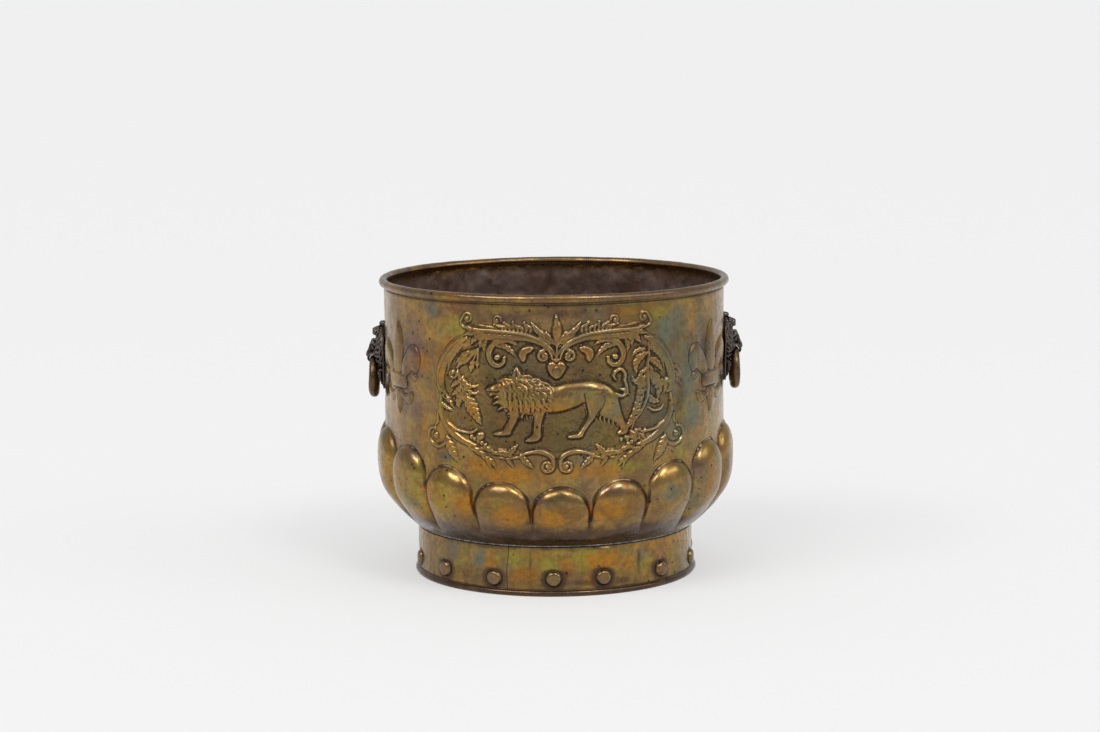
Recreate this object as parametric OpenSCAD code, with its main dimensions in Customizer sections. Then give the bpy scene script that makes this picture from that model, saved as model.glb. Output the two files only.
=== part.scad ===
// Brass planter pot: a gadrooned drum on a banded foot, with two lion masks that hold hanging rings.
// Origin: centre of the foot on the resting plane. +Z is up, -Y is the front, +X is the right mask.

/* [Vessel] */
// Outer radius of the straight wall
wall_r = 161.5; // [158:0.5:165]
// Height of the centre of the rolled rim
rim_z = 278.9; // [270:0.1:285]
// Thickness of the brass sheet
sheet = 1.2; // [1:0.1:1.3]
// Radius of the curve that turns the wall in towards the foot
bowl_r = 80; // [79:0.5:81]
// Height where the wall starts to turn in
bowl_z = 110; // [109:0.5:111]
// Radius of the rolled rim's section
rim_bead_r = 3.9; // [3.5:0.1:4.2]

/* [Gadroons] */
// Number of gadroon lobes round the bowl
lobe_count = 18; // [16:1:20]
// Radius of a lobe's round upper end
lobe_r = 24.5; // [24:0.1:24.5]
// Radius of a lobe's narrow lower end
lobe_foot_r = 14; // [13:0.5:14.5]
// Height of a lobe's top at the front and back
lobe_low_z = 107; // [105:1:112]
// How much higher a lobe's top is at the sides
lobe_rise = 38; // [34:1:40]
// How far the lobes are turned from the front towards +X, in degrees
lobe_turn = 1.8; // [0:0.1:3]
// Radius of the lobes' crests at their fullest
crest_r = 172; // [171:0.5:173]

/* [Foot] */
// Outer radius of the foot band
foot_r = 131.5; // [131:0.1:132]
// Height of the top of the foot band
foot_h = 46.4; // [46:0.1:47]
// Radius of the rolled bottom edge's section
foot_bead_r = 3.1; // [3:0.1:3.3]
// Height of the centre of the rolled bottom edge
foot_bead_z = 2.8; // [2.6:0.1:2.9]
// Number of bosses round the foot band
boss_count = 14; // [12:1:16]
// Radius of a boss where it leaves the band
boss_r = 6.5; // [5.5:0.1:7]
// How far a boss stands out
boss_h = 4.2; // [3.5:0.1:4.5]
// Height of the bosses' centres
boss_z = 16; // [14:0.5:18]

/* [Masks and rings] */
// Height of the left ring's hinge axis
left_axis_z = 203.5; // [200:0.5:210]
// Height of the right ring's hinge axis
right_axis_z = 209.5; // [200:0.5:210]
// Distance of both hinge axes from the middle of the pot
axis_x = 172.2; // [172:0.1:172.4]
// Radius of the ring's centre line
ring_r = 16; // [15.5:0.1:16.5]
// Radius of the ring's rod
rod_r = 4; // [3.8:0.1:4]
// Radius of the hole through the muzzle
mouth_r = 4.9; // [4.9:0.05:5]
// Radius of the fixing studs
stud_r = 2; // [1.8:0.1:2.2]

/* [Hidden] */
$fn = 96;

// Small gaps: overlap for clean cuts, play between touching pieces
cut = 1;
play = 0.05;

// Where the drum's seam line stands, clear of lobes, masks and stud holes
seam_angle = 40 + lobe_turn;

// How far the first bosses, counted from the front towards +X, are off even spacing, in degrees
boss_shifts = [-1, -6.2, -3.4];

// Rolled edges are tubes of sheet closed round a wire
rim_r = wall_r + 0.8;
rim_hollow_r = rim_bead_r - sheet;
foot_bead_rr = foot_r + 0.1;
foot_hollow_r = foot_bead_r - sheet;

// The bowl's curve is an arc about this radius, and meets the foot at foot_h
bowl_cx = wall_r - bowl_r;
bowl_low_z = foot_h + sheet;
flange_in_r = 125;
disc_r = 128;
solder_leg = 1.3;

// Lobes: how far the round end's centre lies under the lobe's top, and the lower end's place
lobe_drop = 19;
lobe_foot_cr = 131;
lobe_foot_z = 73;
crest_fall = 0.007;

// A taper's side starts just inside its round end, so that the two cross cleanly
taper_inset = 0.99;

// The mask, with heights measured from the hinge axis
plate_front_x = 165.5;
plate_top = [8, 25];
plate_chin = [-20, 9.7];
lug_z = 34;
lug_r = 3.2;
lug_front_x = 165.2;
muzzle_r = 7.6;
muzzle_half_w = 6.5;
mouth_half_w = 4.2;
flare_r = 6.15;
sweep_r = 8.2;
sweep_half_w = 22;
stud_zs = [-18, 24];
stud_hole_r = stud_r + 0.3;
stud_tip_x = 152;
stud_root_x = 165;
washer_r = 5;
washer_t = 1;
nut_r = 4.1;
nut_t = 3.2;

// Turns its children, made along +X, to stand at an angle from the front (-Y), counted towards +X
module around(angle) rotate([0, 0, angle - 90]) children();

// Puts its children, made for the right side with the hinge axis at height 0, on either side
module on_side(right) translate([0, 0, right ? right_axis_z : left_axis_z])
    rotate([0, 0, right ? 0 : 180]) children();

// Half section of the drum and bowl, inset by the given distance, from low_z up to high_z
module drum_section(inset, low_z, high_z) {
    translate([0, bowl_z]) square([wall_r - inset, high_z - bowl_z]);
    intersection() {
        translate([bowl_cx, bowl_z]) circle(bowl_r - inset);
        translate([bowl_cx, low_z]) square([bowl_r, bowl_z - low_z]);
    }
    translate([0, low_z]) square([bowl_cx + cut, bowl_z - low_z]);
}

// Where a boss stands, as an angle from the front
function boss_angle(i) = i * 360 / boss_count + (i < len(boss_shifts) ? boss_shifts[i] : 0);

// Height of a lobe's top at an angle from the front
function lobe_top(angle) = lobe_low_z + lobe_rise * pow(sin(angle), 2);

// Radius of the lobes' crests at a height
function crest(z) = crest_r - crest_fall * pow(max(0, 112 - z), 2);

// Half section of one lobe: a round end at height l, tapering to a flat end at 0 inside the bowl
module lobe_section(big, small, l) {
    slope = asin((big - small) / l);
    side = taper_inset * [cos(slope), -sin(slope)];
    intersection() {
        union() {
            translate([0, l]) circle(big);
            polygon([[0, 0], small * side, [0, l] + big * side, [0, l]]);
        }
        translate([0, -small]) square([big, l + small + big]);
    }
}

// One lobe at an angle from the front, inset by the given distance
module lobe(angle, inset) {
    top_z = lobe_top(angle) - lobe_drop;
    top_cr = crest(top_z) - lobe_r;
    run = [top_cr - lobe_foot_cr, top_z - lobe_foot_z];
    around(angle) translate([lobe_foot_cr, 0, lobe_foot_z]) rotate([0, atan2(run.x, run.y), 0])
        rotate([0, 0, 180]) rotate_extrude()
            lobe_section(lobe_r - inset, lobe_foot_r - inset, norm(run));
}

module lobes(inset) for (i = [0:lobe_count - 1]) lobe(i * 360 / lobe_count + lobe_turn, inset);

// A ring of round section about the pot's axis
module hoop(r, z, section_r) rotate_extrude() translate([r, z]) circle(section_r, $fn = 48);

// The drum wall, gadrooned bowl and rolled rim, raised from one sheet
module body_wall() color("#8a6a34") difference() {
    union() {
        rotate([0, 0, seam_angle]) rotate_extrude() drum_section(0, foot_h, rim_z);
        lobes(0);
        hoop(rim_r, rim_z, rim_bead_r);
    }
    rotate([0, 0, seam_angle]) rotate_extrude()
        drum_section(sheet, bowl_low_z, rim_z + 2 * rim_bead_r);
    lobes(sheet);
    translate([0, 0, foot_h - cut]) cylinder(r = flange_in_r, h = 2 * cut + sheet);
    hoop(rim_r, rim_z, rim_hollow_r);
    for (right = [false, true]) on_side(right) for (z = stud_zs)
        translate([wall_r - 5, 0, z]) rotate([0, 90, 0]) cylinder(r = stud_hole_r, h = 10, $fn = 32);
}

// Iron wire that stiffens the rim
module rim_wire() color("#55504a") hoop(rim_r, rim_z, rim_hollow_r - play);

// Floor of the pot, lying on the bowl's inward flange
module base_disc() color("#6b5330") translate([0, 0, bowl_low_z]) cylinder(r = disc_r, h = sheet);

// Solder run in the corner between the floor and the bowl
module base_solder() color("#9a9a94") rotate_extrude() polygon([
    [disc_r, bowl_low_z],
    [disc_r + solder_leg, bowl_low_z],
    [disc_r, bowl_low_z + solder_leg]
]);

// Domes for the bosses, grown inwards by the given distance
module bosses(inset) {
    dome_r = (boss_r * boss_r + boss_h * boss_h) / (2 * boss_h);
    for (i = [0:boss_count - 1]) around(boss_angle(i))
        translate([foot_r + boss_h - dome_r, 0, boss_z]) sphere(dome_r - inset, $fn = 48);
}

// Foot band with embossed bosses, a turned-in top flange and a rolled bottom edge
module foot_band() color("#8f7030") difference() {
    union() {
        translate([0, 0, foot_bead_z]) cylinder(r = foot_r, h = foot_h - foot_bead_z);
        bosses(0);
        hoop(foot_bead_rr, foot_bead_z, foot_bead_r);
    }
    translate([0, 0, -cut]) cylinder(r = foot_r - sheet, h = foot_h - sheet + cut);
    translate([0, 0, foot_h / 2]) cylinder(r = flange_in_r, h = foot_h);
    bosses(sheet);
    hoop(foot_bead_rr, foot_bead_z, foot_hollow_r);
    translate([0, 0, -2 * foot_bead_r]) cylinder(r = foot_r + 10, h = 2 * foot_bead_r);
}

// Iron wire that stiffens the foot's bottom edge
module foot_wire() color("#55504a") hoop(foot_bead_rr, foot_bead_z, foot_hollow_r - play);

// Solder run in the groove between the foot band and the bowl
module foot_solder() color("#9a9a94") rotate_extrude() polygon([
    [foot_r - solder_leg, foot_h],
    [foot_r, foot_h],
    [foot_r, foot_h + 1]
]);

// Outline of the mask's back plate: a round mane that tapers to the beard
module plate_outline() {
    span = plate_top[0] - plate_chin[0];
    slope = asin((plate_top[1] - plate_chin[1]) / span);
    side = taper_inset * [cos(slope), -sin(slope)];
    translate([0, plate_top[0]]) circle(plate_top[1]);
    translate([0, plate_chin[0]]) circle(plate_chin[1]);
    polygon([
        [0, plate_top[0]] + plate_top[1] * side,
        [0, plate_chin[0]] + plate_chin[1] * side,
        [0, plate_chin[0]] + plate_chin[1] * [-side.x, side.y],
        [0, plate_top[0]] + plate_top[1] * [-side.x, side.y]
    ]);
}

// Round bar along X, its seam turned away from the mask's middle plane
module bar_x(x, z, r, l) translate([x, 0, z]) rotate([0, 90, 0]) rotate([0, 0, 50]) cylinder(r = r, h = l, $fn = 32);

// Ball in the mask's middle plane, its seam turned to the wall
module ball(x, z, r) translate([x, 0, z]) rotate([0, 0, 155]) sphere(r);

// Hole along Y through the muzzle: a true bore, flared at its mouths, then the room that the
// ring's rod sweeps beside the muzzle
module mouth() translate([axis_x, 0, 0]) rotate([90, 0, 0]) rotate([0, 0, 200]) rotate_extrude($fn = 64)
    polygon([
        [0, -sweep_half_w], [sweep_r, -sweep_half_w],
        [sweep_r, -muzzle_half_w], [flare_r, -muzzle_half_w], [mouth_r, -mouth_half_w],
        [mouth_r, mouth_half_w], [flare_r, muzzle_half_w], [sweep_r, muzzle_half_w],
        [sweep_r, sweep_half_w], [0, sweep_half_w]
    ]);

// Cast lion mask, on the right side, with the hinge axis at height 0
module mask() color("#3a3128") difference() {
    union() {
        translate([wall_r - 5, 0, 0]) rotate([90, 0, 90])
            linear_extrude(plate_front_x - wall_r + 5) plate_outline();
        bar_x(wall_r - 2, lug_z, lug_r, lug_front_x - wall_r + 2);
        // tuft of mane over the brow
        ball(161.2, 24, 11.6);
        // brow and cheeks
        ball(160.5, 12, 15.2);
        // muzzle, round about the hinge axis
        translate([axis_x, muzzle_half_w + cut, 0]) rotate([90, 0, 0]) rotate([0, 0, 140])
            cylinder(r = muzzle_r, h = 2 * (muzzle_half_w + cut));
        // nose
        ball(axis_x + 1.6, 5, 5.5);
        // lower jaw, inside the hanging ring
        bar_x(plate_front_x - 2, -11, 4.6, 9);
    }
    translate([wall_r + play - 2 * lobe_r, -lobe_r - 5, -50]) cube([2 * lobe_r, 2 * lobe_r + 10, 100]);
    mouth();
    for (z = stud_zs) bar_x(wall_r - 5, z, stud_r + play, stud_root_x - wall_r + 5);
}

// Ring hanging through the muzzle, on the right side
module mask_ring() color("#8c6b3f") translate([axis_x, 0, -ring_r]) rotate([0, 90, 0])
    rotate_extrude() translate([ring_r, 0]) circle(rod_r, $fn = 48);

// Studs that hold the mask through the wall
module studs() color("#6e6a60") for (z = stud_zs) translate([stud_tip_x, 0, z]) rotate([0, 90, 0])
    cylinder(r = stud_r, h = stud_root_x - stud_tip_x, $fn = 32);

// Washers against the inside of the wall
module washers() color("#8a8478") for (z = stud_zs)
    translate([wall_r - sheet - washer_t - 2 * play, 0, z]) rotate([0, 90, 0]) difference() {
        cylinder(r = washer_r, h = washer_t, $fn = 48);
        translate([0, 0, -cut]) cylinder(r = stud_r + play, h = washer_t + 2 * cut, $fn = 32);
    }

// Hexagon nuts on the studs' inner ends
module nuts() color("#77736a") for (z = stud_zs)
    translate([wall_r - sheet - washer_t - nut_t - 2 * play, 0, z]) rotate([0, 90, 0]) difference() {
        cylinder(r = nut_r, h = nut_t, $fn = 6);
        translate([0, 0, -cut]) cylinder(r = stud_r + play, h = nut_t + 2 * cut, $fn = 32);
    }

body_wall();
rim_wire();
base_disc();
base_solder();
foot_band();
foot_wire();
foot_solder();
on_side(false) mask();  // left_mask
on_side(true) mask();  // right_mask
on_side(false) mask_ring();  // left_ring
on_side(true) mask_ring();  // right_ring
on_side(false) studs();  // left_mask_studs
on_side(true) studs();  // right_mask_studs
on_side(false) washers();  // left_mask_washers
on_side(true) washers();  // right_mask_washers
on_side(false) nuts();  // left_mask_nuts
on_side(true) nuts();  // right_mask_nuts
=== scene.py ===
"""Looks of a brass planter pot: repousse wall, gadrooned bowl, banded foot, lion masks and rings.

Lengths inside this script are millimetres until a mesh is made. Angles round the pot are counted in
degrees from the front (-Y) towards the right mask (+X), and arcs are measured on the wall.
"""
import math

import bmesh
import bpy
import numpy as np
from mathutils import Matrix, Vector


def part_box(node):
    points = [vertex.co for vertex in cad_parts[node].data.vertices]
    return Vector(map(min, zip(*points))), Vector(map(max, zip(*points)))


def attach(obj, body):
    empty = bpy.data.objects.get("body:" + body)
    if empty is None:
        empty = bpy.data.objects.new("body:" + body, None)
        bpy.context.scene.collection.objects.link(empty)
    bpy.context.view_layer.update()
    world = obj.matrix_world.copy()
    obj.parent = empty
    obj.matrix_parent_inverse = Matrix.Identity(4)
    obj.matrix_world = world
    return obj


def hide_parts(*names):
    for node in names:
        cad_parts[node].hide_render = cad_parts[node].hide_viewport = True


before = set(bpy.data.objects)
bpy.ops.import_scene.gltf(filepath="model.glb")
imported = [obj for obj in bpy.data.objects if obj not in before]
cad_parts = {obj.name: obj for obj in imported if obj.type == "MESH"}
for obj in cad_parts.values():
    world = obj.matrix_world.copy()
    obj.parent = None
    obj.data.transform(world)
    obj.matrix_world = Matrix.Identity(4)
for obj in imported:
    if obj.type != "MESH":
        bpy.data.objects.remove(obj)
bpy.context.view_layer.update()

MM = 0.001
POT = "pot"
# which way along X each side lies
SIDES = {"left": -1, "right": 1}


# ---------------------------------------------------------------- sizes, from the frame

def node_mm(node):
    """Lowest and highest corners of a CAD node, in millimetres."""
    low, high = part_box(node)
    return np.array(low) / MM, np.array(high) / MM


WIRE_LOW, WIRE_HIGH = node_mm("rim_wire")
DISC_LOW, DISC_HIGH = node_mm("base_disc")

SHEET = float(DISC_HIGH[2] - DISC_LOW[2])
RIM_Z = float(WIRE_LOW[2] + WIRE_HIGH[2]) / 2
BEAD_R = float(node_mm("body_wall")[1][2]) - RIM_Z
WIRE_R = float(WIRE_HIGH[2] - WIRE_LOW[2]) / 2
RIM_R = float(WIRE_HIGH[0]) - WIRE_R
WALL_R = RIM_R - 0.8
FOOT_R = float(node_mm("foot_solder")[1][0])
FOOT_TOP = float(node_mm("foot_band")[1][2])
FLOOR_Z = float(DISC_LOW[2])
DISC_R = float(DISC_HIGH[0])
FLANGE_R = DISC_R - 3
# the bowl curves in below BOWL_Z, about an arc of radius BOWL_R
BOWL_R = 80.0
BOWL_Z = 110.0
BOWL_CX = WALL_R - BOWL_R


# ---------------------------------------------------------------- small tools

def smoothstep(low, high, x):
    """0 below low, 1 above high, and a smooth rise between. low may be the larger of the two."""
    t = np.clip((x - low) / (high - low), 0, 1)
    return t * t * (3 - 2 * t)


def smooth_max(a, b, soft):
    """The larger of two heights, with a fillet of the given softness where they cross."""
    gap = np.clip(soft - np.abs(a - b), 0, None)
    return np.maximum(a, b) + gap * gap / (4 * soft)


def blur(field, sigma):
    """Gaussian blur of a 2D array, with its edges repeated."""
    reach = max(1, int(3 * sigma))
    kernel = np.exp(-0.5 * (np.arange(-reach, reach + 1) / sigma) ** 2)
    kernel /= kernel.sum()
    out = np.pad(field, reach, mode="edge")
    out = np.apply_along_axis(np.convolve, 0, out, kernel, mode="valid")
    return np.apply_along_axis(np.convolve, 1, out, kernel, mode="valid")


def waves(seed, places, count, longest, shortest):
    """Smooth bumps between about -1 and 1 over places in space: a sum of plane waves."""
    rng = np.random.default_rng(seed)
    total = np.zeros(places.shape[:-1])
    for _ in range(count):
        way = rng.normal(size=3)
        way *= 2 * math.pi / (np.linalg.norm(way) * rng.uniform(shortest, longest))
        total += np.sin(places @ way + rng.uniform(0, 2 * math.pi))
    return total * math.sqrt(2 / count)


def curve_through(points, values, step):
    """Catmull-Rom curve through 2D points, and values carried along it, sampled about every step."""
    p = np.array(points, float)
    v = np.array(values, float)
    ends = np.vstack([2 * p[0] - p[1], p, 2 * p[-1] - p[-2]])
    places, carried = [], []
    for i in range(len(p) - 1):
        a, b, c, d = ends[i:i + 4]
        count = max(2, int(np.linalg.norm(c - b) / step) + 1)
        t = np.linspace(0, 1, count, endpoint=False)[:, None]
        places.append(0.5 * (2 * b + (c - a) * t + (2 * a - 5 * b + 4 * c - d) * t ** 2
                             + (3 * b - a - 3 * c + d) * t ** 3))
        ease = t[:, 0] * t[:, 0] * (3 - 2 * t[:, 0])
        carried.append(v[i] + (v[i + 1] - v[i]) * ease)
    places.append(p[-1:])
    carried.append(v[-1:])
    return np.vstack(places), np.concatenate(carried)


# ---------------------------------------------------------------- chased relief

def covered(depth):
    """How much of a cell a shape covers, from how deep inside its edge the cell's middle lies."""
    return np.clip(depth / 0.5 + 0.5, 0, 1)


class Relief:
    """Height map over arc (s) and height (z), in millimetres, worked like a repousse sheet."""

    def __init__(self, left, right, low, high, pitch=0.4):
        self.pitch = pitch
        self.s = np.arange(left, right, pitch)
        self.z = np.arange(low, high, pitch)
        self.S, self.Z = np.meshgrid(self.s, self.z)
        self.height = np.zeros(self.S.shape)
        self.raised = np.zeros(self.S.shape)
        self.sunk = np.zeros(self.S.shape)

    def window(self, low, high):
        """The part of the map between two corners."""
        i0, i1 = np.searchsorted(self.z, (low[1], high[1]))
        j0, j1 = np.searchsorted(self.s, (low[0], high[0]))
        return slice(i0, i1), slice(j0, j1)

    def add(self, area, height, share, soft=0.0, lift=False):
        """Raises an area to a height, where share is how much of each cell the shape covers.
        With lift, the height is added to what is already raised there."""
        here = self.height[area]
        if lift:
            self.height[area] = here + height * share * self.raised[area]
            return
        risen = smooth_max(here, height, soft) if soft else np.maximum(here, height)
        self.height[area] = np.where(share > 0, risen, here)
        self.raised[area] = np.maximum(self.raised[area], share)

    def follow(self, points, widths):
        """A window round a curve. For each place in it: how far along the curve it is (0 to 1), how far
        across in half widths (positive on the left), and the half width there (0 if far from the curve)."""
        path, half = curve_through(points, widths, self.pitch)
        reach = half.max() + 1
        area = self.window(path.min(0) - reach, path.max(0) + reach)
        S, Z = self.S[area], self.Z[area]
        gap = np.full(S.shape, 9.0)
        nearest = np.zeros(S.shape, int)
        if S.size:
            s0, z0 = S[0, 0], Z[0, 0]
            for k, ((s, z), w) in enumerate(zip(path, half)):
                r = w + 0.6
                i0, i1 = int(max(0, (z - r - z0) / self.pitch)), int((z + r - z0) / self.pitch) + 2
                j0, j1 = int(max(0, (s - r - s0) / self.pitch)), int((s + r - s0) / self.pitch) + 2
                q = np.hypot(S[i0:i1, j0:j1] - s, Z[i0:i1, j0:j1] - z) / max(w, 0.2)
                nearer = q < gap[i0:i1, j0:j1]
                gap[i0:i1, j0:j1][nearer] = q[nearer]
                nearest[i0:i1, j0:j1][nearer] = k
        ahead = np.gradient(path, axis=0)[nearest]
        base = path[nearest]
        left = ahead[..., 0] * (Z - base[..., 1]) - ahead[..., 1] * (S - base[..., 0])
        across = gap * np.where(left < 0, -1, 1)
        return area, nearest / (len(path) - 1), across, np.where(gap < 9, half[nearest], 0)

    def stroke(self, points, widths, height, vein=0.0, soft=0.0, flat=0.7, lift=False):
        """A tapered ridge along a smooth curve. widths are half widths, vein is a sunk middle line."""
        area, _, across, thick = self.follow(points, widths)
        gap = np.abs(across)
        body = np.clip(1 - gap * gap, 0, 1) ** flat * (0.5 + 0.5 * thick / max(widths))
        if vein:
            body = body - vein * np.exp(-(gap / 0.25) ** 2)
        share = np.where(thick > 0, covered((1 - gap) * thick), 0)
        self.add(area, body * height * (gap < 1), share, soft, lift)

    def band(self, points, widths, height, lit):
        """A round-backed band with a thin cord and a groove along one edge: lit is 1 for the left edge."""
        area, _, across, thick = self.follow(points, widths)
        d = across * lit
        body = 0.8 * np.sqrt(np.clip(1 - d * d, 0, 1))
        body = body + 0.42 * np.exp(-((d - 0.66) / 0.17) ** 2) - 0.30 * np.exp(-((d - 0.28) / 0.15) ** 2)
        share = np.where(thick > 0, covered((1 - np.abs(d)) * thick), 0)
        self.add(area, body * height * (np.abs(d) < 1), share)

    def leaf(self, points, half, height, lobes=4, lean=0.9, deep=0.55):
        """A leaf laid along a curve: lobed edge, sunk midrib, and a furrow between each two lobes."""
        area, t, across, thick = self.follow(points, [half] * len(points))
        long = sum(math.dist(a, b) for a, b in zip(points, points[1:]))
        gap = np.abs(across)
        lobe = np.abs(np.cos(math.pi * (lobes * (t - lean * gap * half / long) + 0.5 * (across > 0) * 0.5)))
        edge = np.clip(np.sin(math.pi * np.clip(t, 0.02, 1) ** 0.72), 0.02, 1) ** 0.8
        edge = edge * (0.66 + 0.34 * lobe ** 0.6) + 0.06
        q = gap / edge
        furrow = deep * (1 - lobe) ** 1.6 * smoothstep(0.10, 0.45, q)
        rib = 0.38 * np.exp(-(gap * half / 0.5) ** 2)
        body = np.clip(1 - q * q, 0, 1) ** 0.5 * (1 - furrow) - rib
        share = np.where(thick > 0, covered((1 - q) * edge * half), 0)
        self.add(area, body * height * (q < 1), share)

    def mound(self, centre, radii, turn, height, soft=0.0, flat=0.65, lift=False):
        """A domed oval. turn is in degrees."""
        reach = np.array([max(radii)] * 2) + 1
        area = self.window(np.array(centre) - reach, np.array(centre) + reach)
        c, s = math.cos(math.radians(turn)), math.sin(math.radians(turn))
        dx, dz = self.S[area] - centre[0], self.Z[area] - centre[1]
        q = np.hypot((dx * c + dz * s) / radii[0], (dz * c - dx * s) / radii[1])
        share = covered((1 - q) * min(radii))
        self.add(area, np.clip(1 - q * q, 0, 1) ** flat * height, share, soft, lift)

    def shape(self, outline, height, roll, soft=0.6):
        """A closed outline, filled and rounded over at its edge. roll is the width of the rounding."""
        ring, _ = curve_through(outline + outline[:1], [0] * (len(outline) + 1), 2 * self.pitch)
        area = self.window(ring.min(0) - 1, ring.max(0) + 1)
        S, Z = self.S[area], self.Z[area]
        gap = np.full(S.shape, 99.0)
        inside = np.zeros(S.shape, bool)
        for (s, z), (s2, z2) in zip(ring, np.roll(ring, -1, 0)):
            gap = np.minimum(gap, np.hypot(S - s, Z - z))
            if z != z2:
                inside ^= ((z > Z) != (z2 > Z)) & (S < s + (s2 - s) * (Z - z) / (z2 - z))
        depth = np.where(inside, gap, -gap)
        t = np.clip(depth / roll, 0, 1)
        self.add(area, height * np.sqrt(1 - (1 - t) ** 2), covered(depth), soft)

    def volute(self, centre, radius, start, turns, half, height):
        """A scroll end that winds in to a round bead. A negative turns winds clockwise."""
        steps, bead = 14, 0.40
        spin = np.radians(start + np.linspace(0, 360 * turns, steps))
        r = radius * np.linspace(1, bead, steps)
        points = np.column_stack([centre[0] + r * np.cos(spin), centre[1] + r * np.sin(spin)])
        self.stroke(points, half * np.linspace(1, 0.6, steps), height)
        self.mound(centre, (radius * bead, radius * bead), 0, height * 1.3)

    def cut(self, points, half, depth):
        """A chased line, sunk into whatever is there."""
        path, width = curve_through(points, [half] * len(points), self.pitch)
        reach = half * 2.5
        area = self.window(path.min(0) - reach, path.max(0) + reach)
        S, Z = self.S[area], self.Z[area]
        gap = np.full(S.shape, 99.0)
        for s, z in path:
            gap = np.minimum(gap, np.hypot(S - s, Z - z))
        self.sunk[area] = np.maximum(self.sunk[area], depth * np.exp(-(gap / half) ** 2))


# arc of the scene's middle line
SCENE_MIDDLE = 1.5


class Mirror:
    """A relief's tools, working on the right (1) or the left (-1) of a middle line."""

    def __init__(self, art, side, middle=SCENE_MIDDLE):
        self.art = art
        self.side = side
        self.middle = middle

    def place(self, point):
        """Where a point lies on this side."""
        return self.middle + self.side * point[0], point[1]

    def __getattr__(self, tool):
        """The tool of that name. It takes a centre for a mound or volute, or else the points of a line."""
        def work(where, *how, **more):
            one = tool in ("mound", "volute")
            places = self.place(where) if one else [self.place(point) for point in where]
            getattr(self.art, tool)(places, *how, **more)
        return work


def side_scrolls(art, side):
    """The C-shaped bands that frame the field, and the curls and leaves outside them."""
    pen = Mirror(art, side)
    upper = [(84, 242), (92, 238), (101, 230), (109, 219), (114, 206), (113, 194), (109, 190)]
    pen.band(upper, [1.4, 3.0, 3.9, 4.3, 4.4, 3.6, 1.6], 2.1, side)
    hair = [(86, 244.5), (97, 239.5), (107, 230.5), (115, 219), (119, 208)]
    pen.stroke(hair, [0.5, 0.9, 1.0, 0.9, 0.4], 0.9)
    inner = [(88, 236), (95, 230), (102, 221), (106, 211)]
    pen.leaf(inner, 2.2, 1.2, 7)
    lower = [(113, 187), (114, 178), (111.5, 168), (105, 158.5), (96, 151), (85, 146), (76, 144)]
    pen.band(lower, [1.2, 2.6, 3.3, 3.6, 3.3, 2.7, 1.4], 2.0, side)
    ledge = [(105, 163), (98, 158), (90, 156), (81, 155.5), (75, 158.5)]
    pen.stroke(ledge, [0.5, 1.5, 1.7, 1.5, 0.6], 1.5)
    # plump leaf that drops from the band, and the curl with a bead beside it
    pen.leaf([(107, 149), (103.5, 141), (99, 133.5), (94, 127)], 5.4, 2.0, 5)
    curl = [(106, 153), (109, 144), (117, 140), (125, 142), (129.5, 148.5), (127, 155.5), (121, 156.5)]
    pen.stroke(curl, [0.6, 1.7, 2.1, 2.1, 1.9, 1.6, 1.1], 1.7)
    pen.mound((120.5, 149.5), (3.4, 3.4), 0, 2.0)
    pen.stroke([(114, 176), (118, 170), (118, 163), (122, 158)], [0.5, 1.4, 1.4, 0.6], 1.1)
    pen.leaf([(114, 137), (118, 134), (122, 134)], 1.8, 0.9, 2)


def wings(art, side):
    """The long scrolls over the field, which end in leaf tips and a small volute."""
    pen = Mirror(art, side)
    spine = [(6, 231), (9, 236), (16, 240.5), (26, 244), (38, 245.5), (52, 246), (64, 246.3), (73, 246.5)]
    pen.band(spine, [1.4, 2.2, 2.9, 3.5, 4.2, 4.8, 5.2, 3.6], 2.5, side)
    cord = [(3.5, 225), (5.2, 231), (8.5, 237.5), (14, 242), (22, 245.6), (32, 248.3), (44, 249.6),
            (58, 250.6), (72, 250.8), (84, 252)]
    pen.stroke(cord, [1.3, 1.6, 1.6, 1.5, 1.4, 1.4, 1.4, 1.5, 1.7, 0.8], 3.1)
    for tip, half in (((89.5, 252.5), 3.0), ((87.5, 244.5), 3.3), ((80, 236), 3.6), ((70.5, 233.5), 2.8)):
        knee = (0.5 * (66 + tip[0]) + 1.0, 0.5 * (246.5 + tip[1]) + 1.6)
        pen.leaf([(64, 246.5), knee, tip], half, 2.7, 3)
    pen.stroke([(82, 251), (88, 253), (90, 257.5), (87, 262.5)], [1.1, 1.5, 1.4, 1.2], 1.9)
    pen.volute((83, 260.3), 5.0, 90 - 50 * side, 1.0 * side, 1.2, 1.7)
    pen.cut([(20, 241), (34, 242.8), (50, 243), (62, 242.6)], 0.6, 0.5)
    for k in range(6):
        pen.cut([(40 + 5 * k, 248.6), (43 + 5 * k, 245.5), (44 + 5 * k, 242)], 0.5, 0.35)


def sprays(art, side):
    """Small leaves that stand along the top of the wings, and the volute that ends the row."""
    pen = Mirror(art, side)
    rng = np.random.default_rng(23)
    for k in range(8):
        root = (23.5 + 3.6 * k, 248.4 + 0.4 * k)
        high = rng.uniform(6.0, 9.5) - 0.35 * k
        tip = (root[0] + rng.uniform(1.0, 7.0), root[1] + high)
        knee = (root[0] + rng.uniform(-0.6, 1.4), root[1] + 0.55 * high)
        pen.leaf([root, knee, tip], rng.uniform(1.3, 1.9), rng.uniform(1.4, 2.1), 1, deep=0.3)
        if k % 2:
            bud = (tip[0] + rng.uniform(-1.5, 1.5), tip[1] + rng.uniform(-0.5, 1.5))
            pen.mound(bud, (1.5, 1.3), 0, 1.9)
    pen.volute((54, 259.5), 4.2, 90 + 90 * side, -0.9 * side, 1.2, 1.6)
    pen.stroke([(52, 252.5), (60, 253.3), (70, 254), (79, 255.5)], [0.5, 0.8, 0.8, 0.4], 0.9)


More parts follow.
